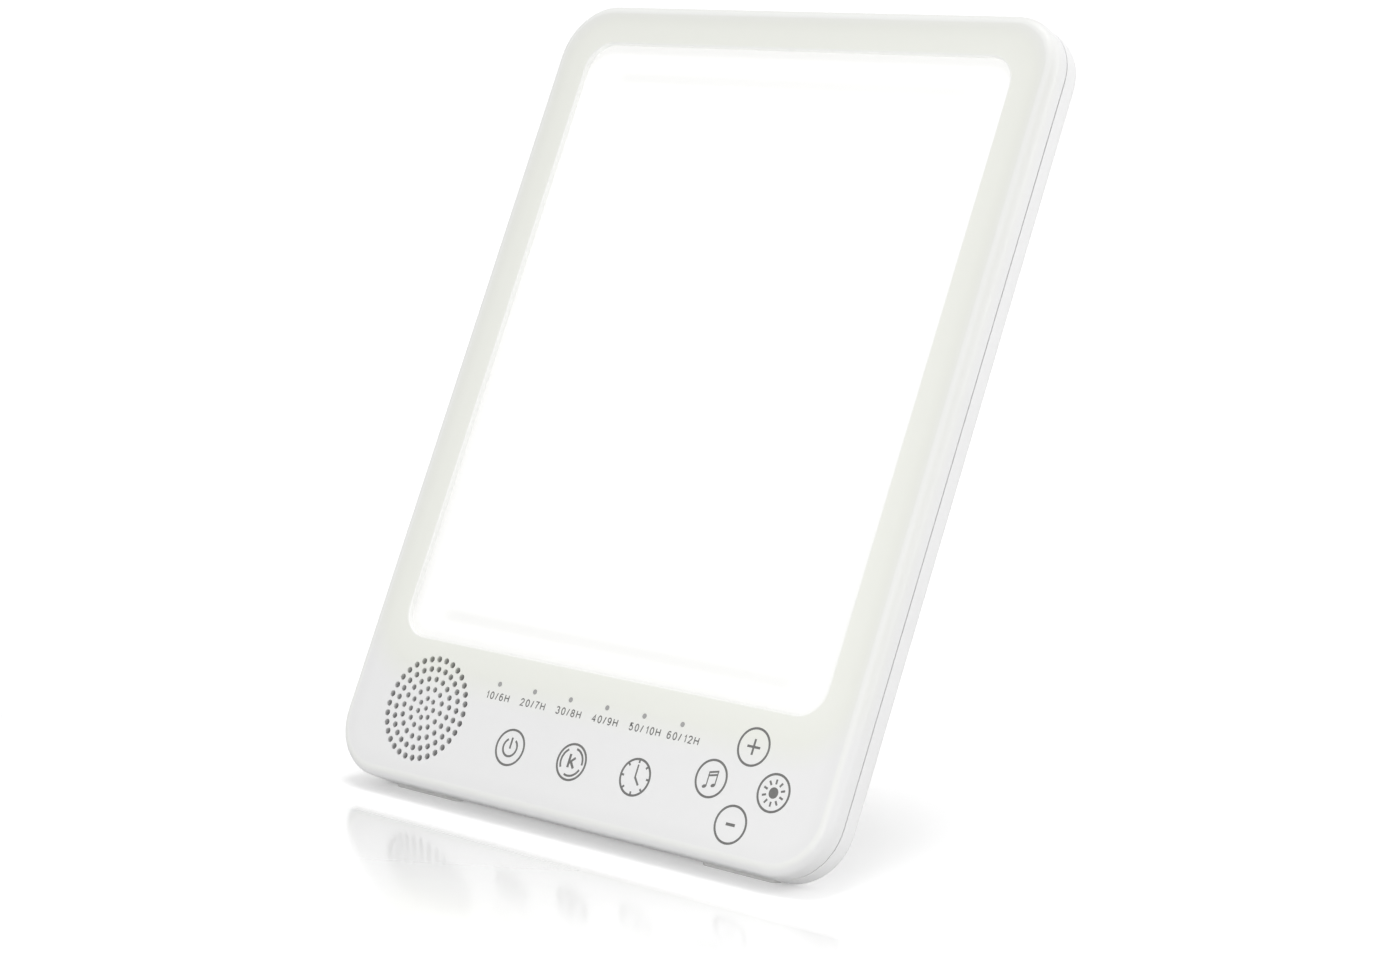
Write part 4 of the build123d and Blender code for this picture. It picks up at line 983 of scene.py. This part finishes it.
def cross_cutter(reach, width, top, bottom, name):
    """A cross that narrows downwards, to cut a driver recess, in millimetres."""
    bm = bmesh.new()
    rings = []
    for r, w, z in ((reach, width, top),
                    (reach * CROSS_BOTTOM_REACH, width * CROSS_BOTTOM_WIDTH, bottom)):
        corners = [(w, w), (w, r), (-w, r), (-w, w), (-r, w), (-r, -w), (-w, -w), (-w, -r),
                   (w, -r), (w, -w), (r, -w), (r, w)]
        rings.append([bm.verts.new((x, y, z)) for x, y in corners])
    band(bm, *rings)
    for loop in rings:
        bm.faces.new(loop)
    return closed_object(bm, name)


def screw_set(node, places, seat, sizes, steel):
    """Cross-head screws that stand for a CAD node, turned a little differently at each place."""
    head_radius, head_height = sizes[:2]
    body = lathe(screw_profile(*sizes), node + "_body")
    cutter = cross_cutter(head_radius * CROSS_REACH, head_radius * CROSS_WIDTH,
                          head_height * CROSS_TOP, head_height * CROSS_BOTTOM, node + "_cutter")
    scene_objects = bpy.context.scene.collection.objects
    scene_objects.link(body)
    scene_objects.link(cutter)
    cut = body.modifiers.new("cut", "BOOLEAN")
    cut.operation = "DIFFERENCE"
    cut.solver = "EXACT"
    cut.object = cutter
    single = with_modifiers(body)
    bm = bmesh.new()
    for n, (across, up) in enumerate(places):
        copy = single.copy()
        flipped = Matrix.Rotation(pi, 4, "X") @ Matrix.Rotation(SCREW_TURN * n, 4, "Z")
        copy.transform(PANEL_TO_WORLD @ Matrix.Diagonal((MM, MM, MM, 1.0))
                       @ Matrix.Translation((across, up, -seat)) @ flipped)
        bm.from_mesh(copy)
        bpy.data.meshes.remove(copy)
    mesh = bpy.data.meshes.new(node + "_cross_head")
    bm.to_mesh(mesh)
    bm.free()
    mesh.materials.append(steel)
    for spare in (body, cutter):
        bpy.data.objects.remove(spare)
    piece = bpy.data.objects.new(node + "_cross_head", mesh)
    scene_objects.link(piece)
    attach(piece, PANEL)
    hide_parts(node)


# ======================= Studio =======================
def make_camera():
    """The camera that sees the lamp as a product photograph does."""
    data = bpy.data.cameras.new("camera")
    data.lens = CAMERA_LENS
    data.sensor_width = SENSOR_WIDTH
    data.clip_end = CAMERA_FAR
    camera = bpy.data.objects.new("camera", data)
    camera.location = CAMERA_PLACE
    camera.rotation_euler = Euler([radians(a) for a in CAMERA_TURN])
    bpy.context.scene.collection.objects.link(camera)
    bpy.context.scene.camera = camera


def make_world():
    """Even studio light all round; the background itself is white."""
    world = bpy.data.worlds.new("studio")
    bpy.context.scene.world = world
    world.use_nodes = True
    tree = world.node_tree
    tree.nodes.clear()
    path = add(tree, "ShaderNodeLightPath")
    seen = math(tree, "MAXIMUM", path.outputs["Is Camera Ray"],
                math(tree, "MAXIMUM", path.outputs["Is Glossy Ray"],
                     path.outputs["Is Transmission Ray"]))
    light = add(tree, "ShaderNodeBackground", Strength=WORLD_LEVEL, Color=WHITE)
    white = add(tree, "ShaderNodeBackground", Strength=1.0, Color=WHITE)
    both = add(tree, "ShaderNodeMixShader", [(0, seen), (1, light.outputs[0]),
                                             (2, white.outputs[0])])
    add(tree, "ShaderNodeOutputWorld", [("Surface", both.outputs[0])])


def area_lamp(name, place, aim, size, power):
    """A soft box at a place, turned to its aim."""
    data = bpy.data.lights.new(name, "AREA")
    data.shape = "SQUARE"
    data.size = size
    data.energy = power
    lamp = bpy.data.objects.new(name, data)
    lamp.location = place
    lamp.rotation_mode = "QUATERNION"
    lamp.rotation_quaternion = (Vector(aim) - Vector(place)).to_track_quat("-Z", "Y")
    bpy.context.scene.collection.objects.link(lamp)


def floor_finish():
    """White that keeps the shadow for the eye, and gives less light back to the lamp."""
    material = bpy.data.materials.new("floor_white")
    material.use_nodes = True
    tree = material.node_tree
    tree.nodes.clear()
    path = add(tree, "ShaderNodeLightPath")
    place = add(tree, "ShaderNodeTexCoord").outputs["Object"]
    bounce = add(tree, "ShaderNodeBsdfDiffuse", Color=FLOOR_BOUNCE)
    ground = add(tree, "ShaderNodeBsdfDiffuse", Color=WHITE)
    distance = add(tree, "ShaderNodeVectorMath", [(0, place)], operation="LENGTH")
    lift = add(tree, "ShaderNodeEmission", [("Strength", spread(
        tree, distance.outputs["Value"], FLOOR_LIFT, FLOOR_FAR_LIFT, *FLOOR_FAR))])
    lit = add(tree, "ShaderNodeAddShader", [(0, ground.outputs[0]), (1, lift.outputs[0])])
    gloss = add(tree, "ShaderNodeBsdfGlossy", Roughness=FLOOR_GLOSS_ROUGHNESS, Color=WHITE)
    along = add(tree, "ShaderNodeVectorMath", [(0, place)], operation="DOT_PRODUCT")
    along.inputs[1].default_value = GLOSS_FADE_WAY
    fade = spread(tree, along.outputs["Value"], 0.0, GLOSS_MOST, GLOSS_GONE_AT, GLOSS_FULL_AT)
    split = add(tree, "ShaderNodeSeparateXYZ", [("Vector", place)])
    start = spread(tree, split.outputs["Y"], 1.0, 0.0, GLOSS_START_Y - GLOSS_START_SOFT,
                   GLOSS_START_Y + GLOSS_START_SOFT)
    near = spread(tree, distance.outputs["Value"], 1.0, 0.0, *GLOSS_FAR)
    share = math(tree, "MULTIPLY", math(tree, "MULTIPLY", fade, start), near)
    seen = add(tree, "ShaderNodeMixShader", [(0, share), (1, lit.outputs[0]),
                                             (2, gloss.outputs[0])])
    whole = math(tree, "MAXIMUM", path.outputs["Is Camera Ray"], path.outputs["Is Glossy Ray"])
    surface = add(tree, "ShaderNodeMixShader", [(0, whole), (1, bounce.outputs[0]),
                                                (2, seen.outputs[0])])
    add(tree, "ShaderNodeOutputMaterial", [("Surface", surface.outputs[0])])
    return material


def make_floor():
    """A round white floor with the object's shadow and a short faint reflection."""
    bm = bmesh.new()
    bmesh.ops.create_circle(bm, cap_ends=True, segments=FLOOR_SIDES, radius=FLOOR_RADIUS)
    mesh = bpy.data.meshes.new("floor")
    bm.to_mesh(mesh)
    bm.free()
    mesh.materials.append(floor_finish())
    floor = bpy.data.objects.new("floor", mesh)
    bpy.context.scene.collection.objects.link(floor)


def make_studio():
    """Camera, world, lamps and floor."""
    make_camera()
    make_world()
    for soft_box in SOFT_BOXES:
        area_lamp(*soft_box)
    make_floor()
    bpy.context.scene.view_settings.view_transform = "Standard"


materials = make_materials()
dress_nodes(materials, make_shell_finishes())
screw_set("case_screws", CASE_SCREW_PLACES, CASE_SCREW_SEAT, CASE_SCREW_SIZES, materials["steel"])
screw_set("hinge_cap_screws", CAP_SCREW_PLACES, CAP_SCREW_SEAT, CAP_SCREW_SIZES,
          materials["steel"])
key_ink = moulded("key_ink", (0.18, 0.18, 0.175, 1.0), 0.55, grain=0.12, depth=0.002, mottle=0.15,
                  patch=1.5)
make_key_prints(key_ink)
make_legends(key_ink)
make_studio()
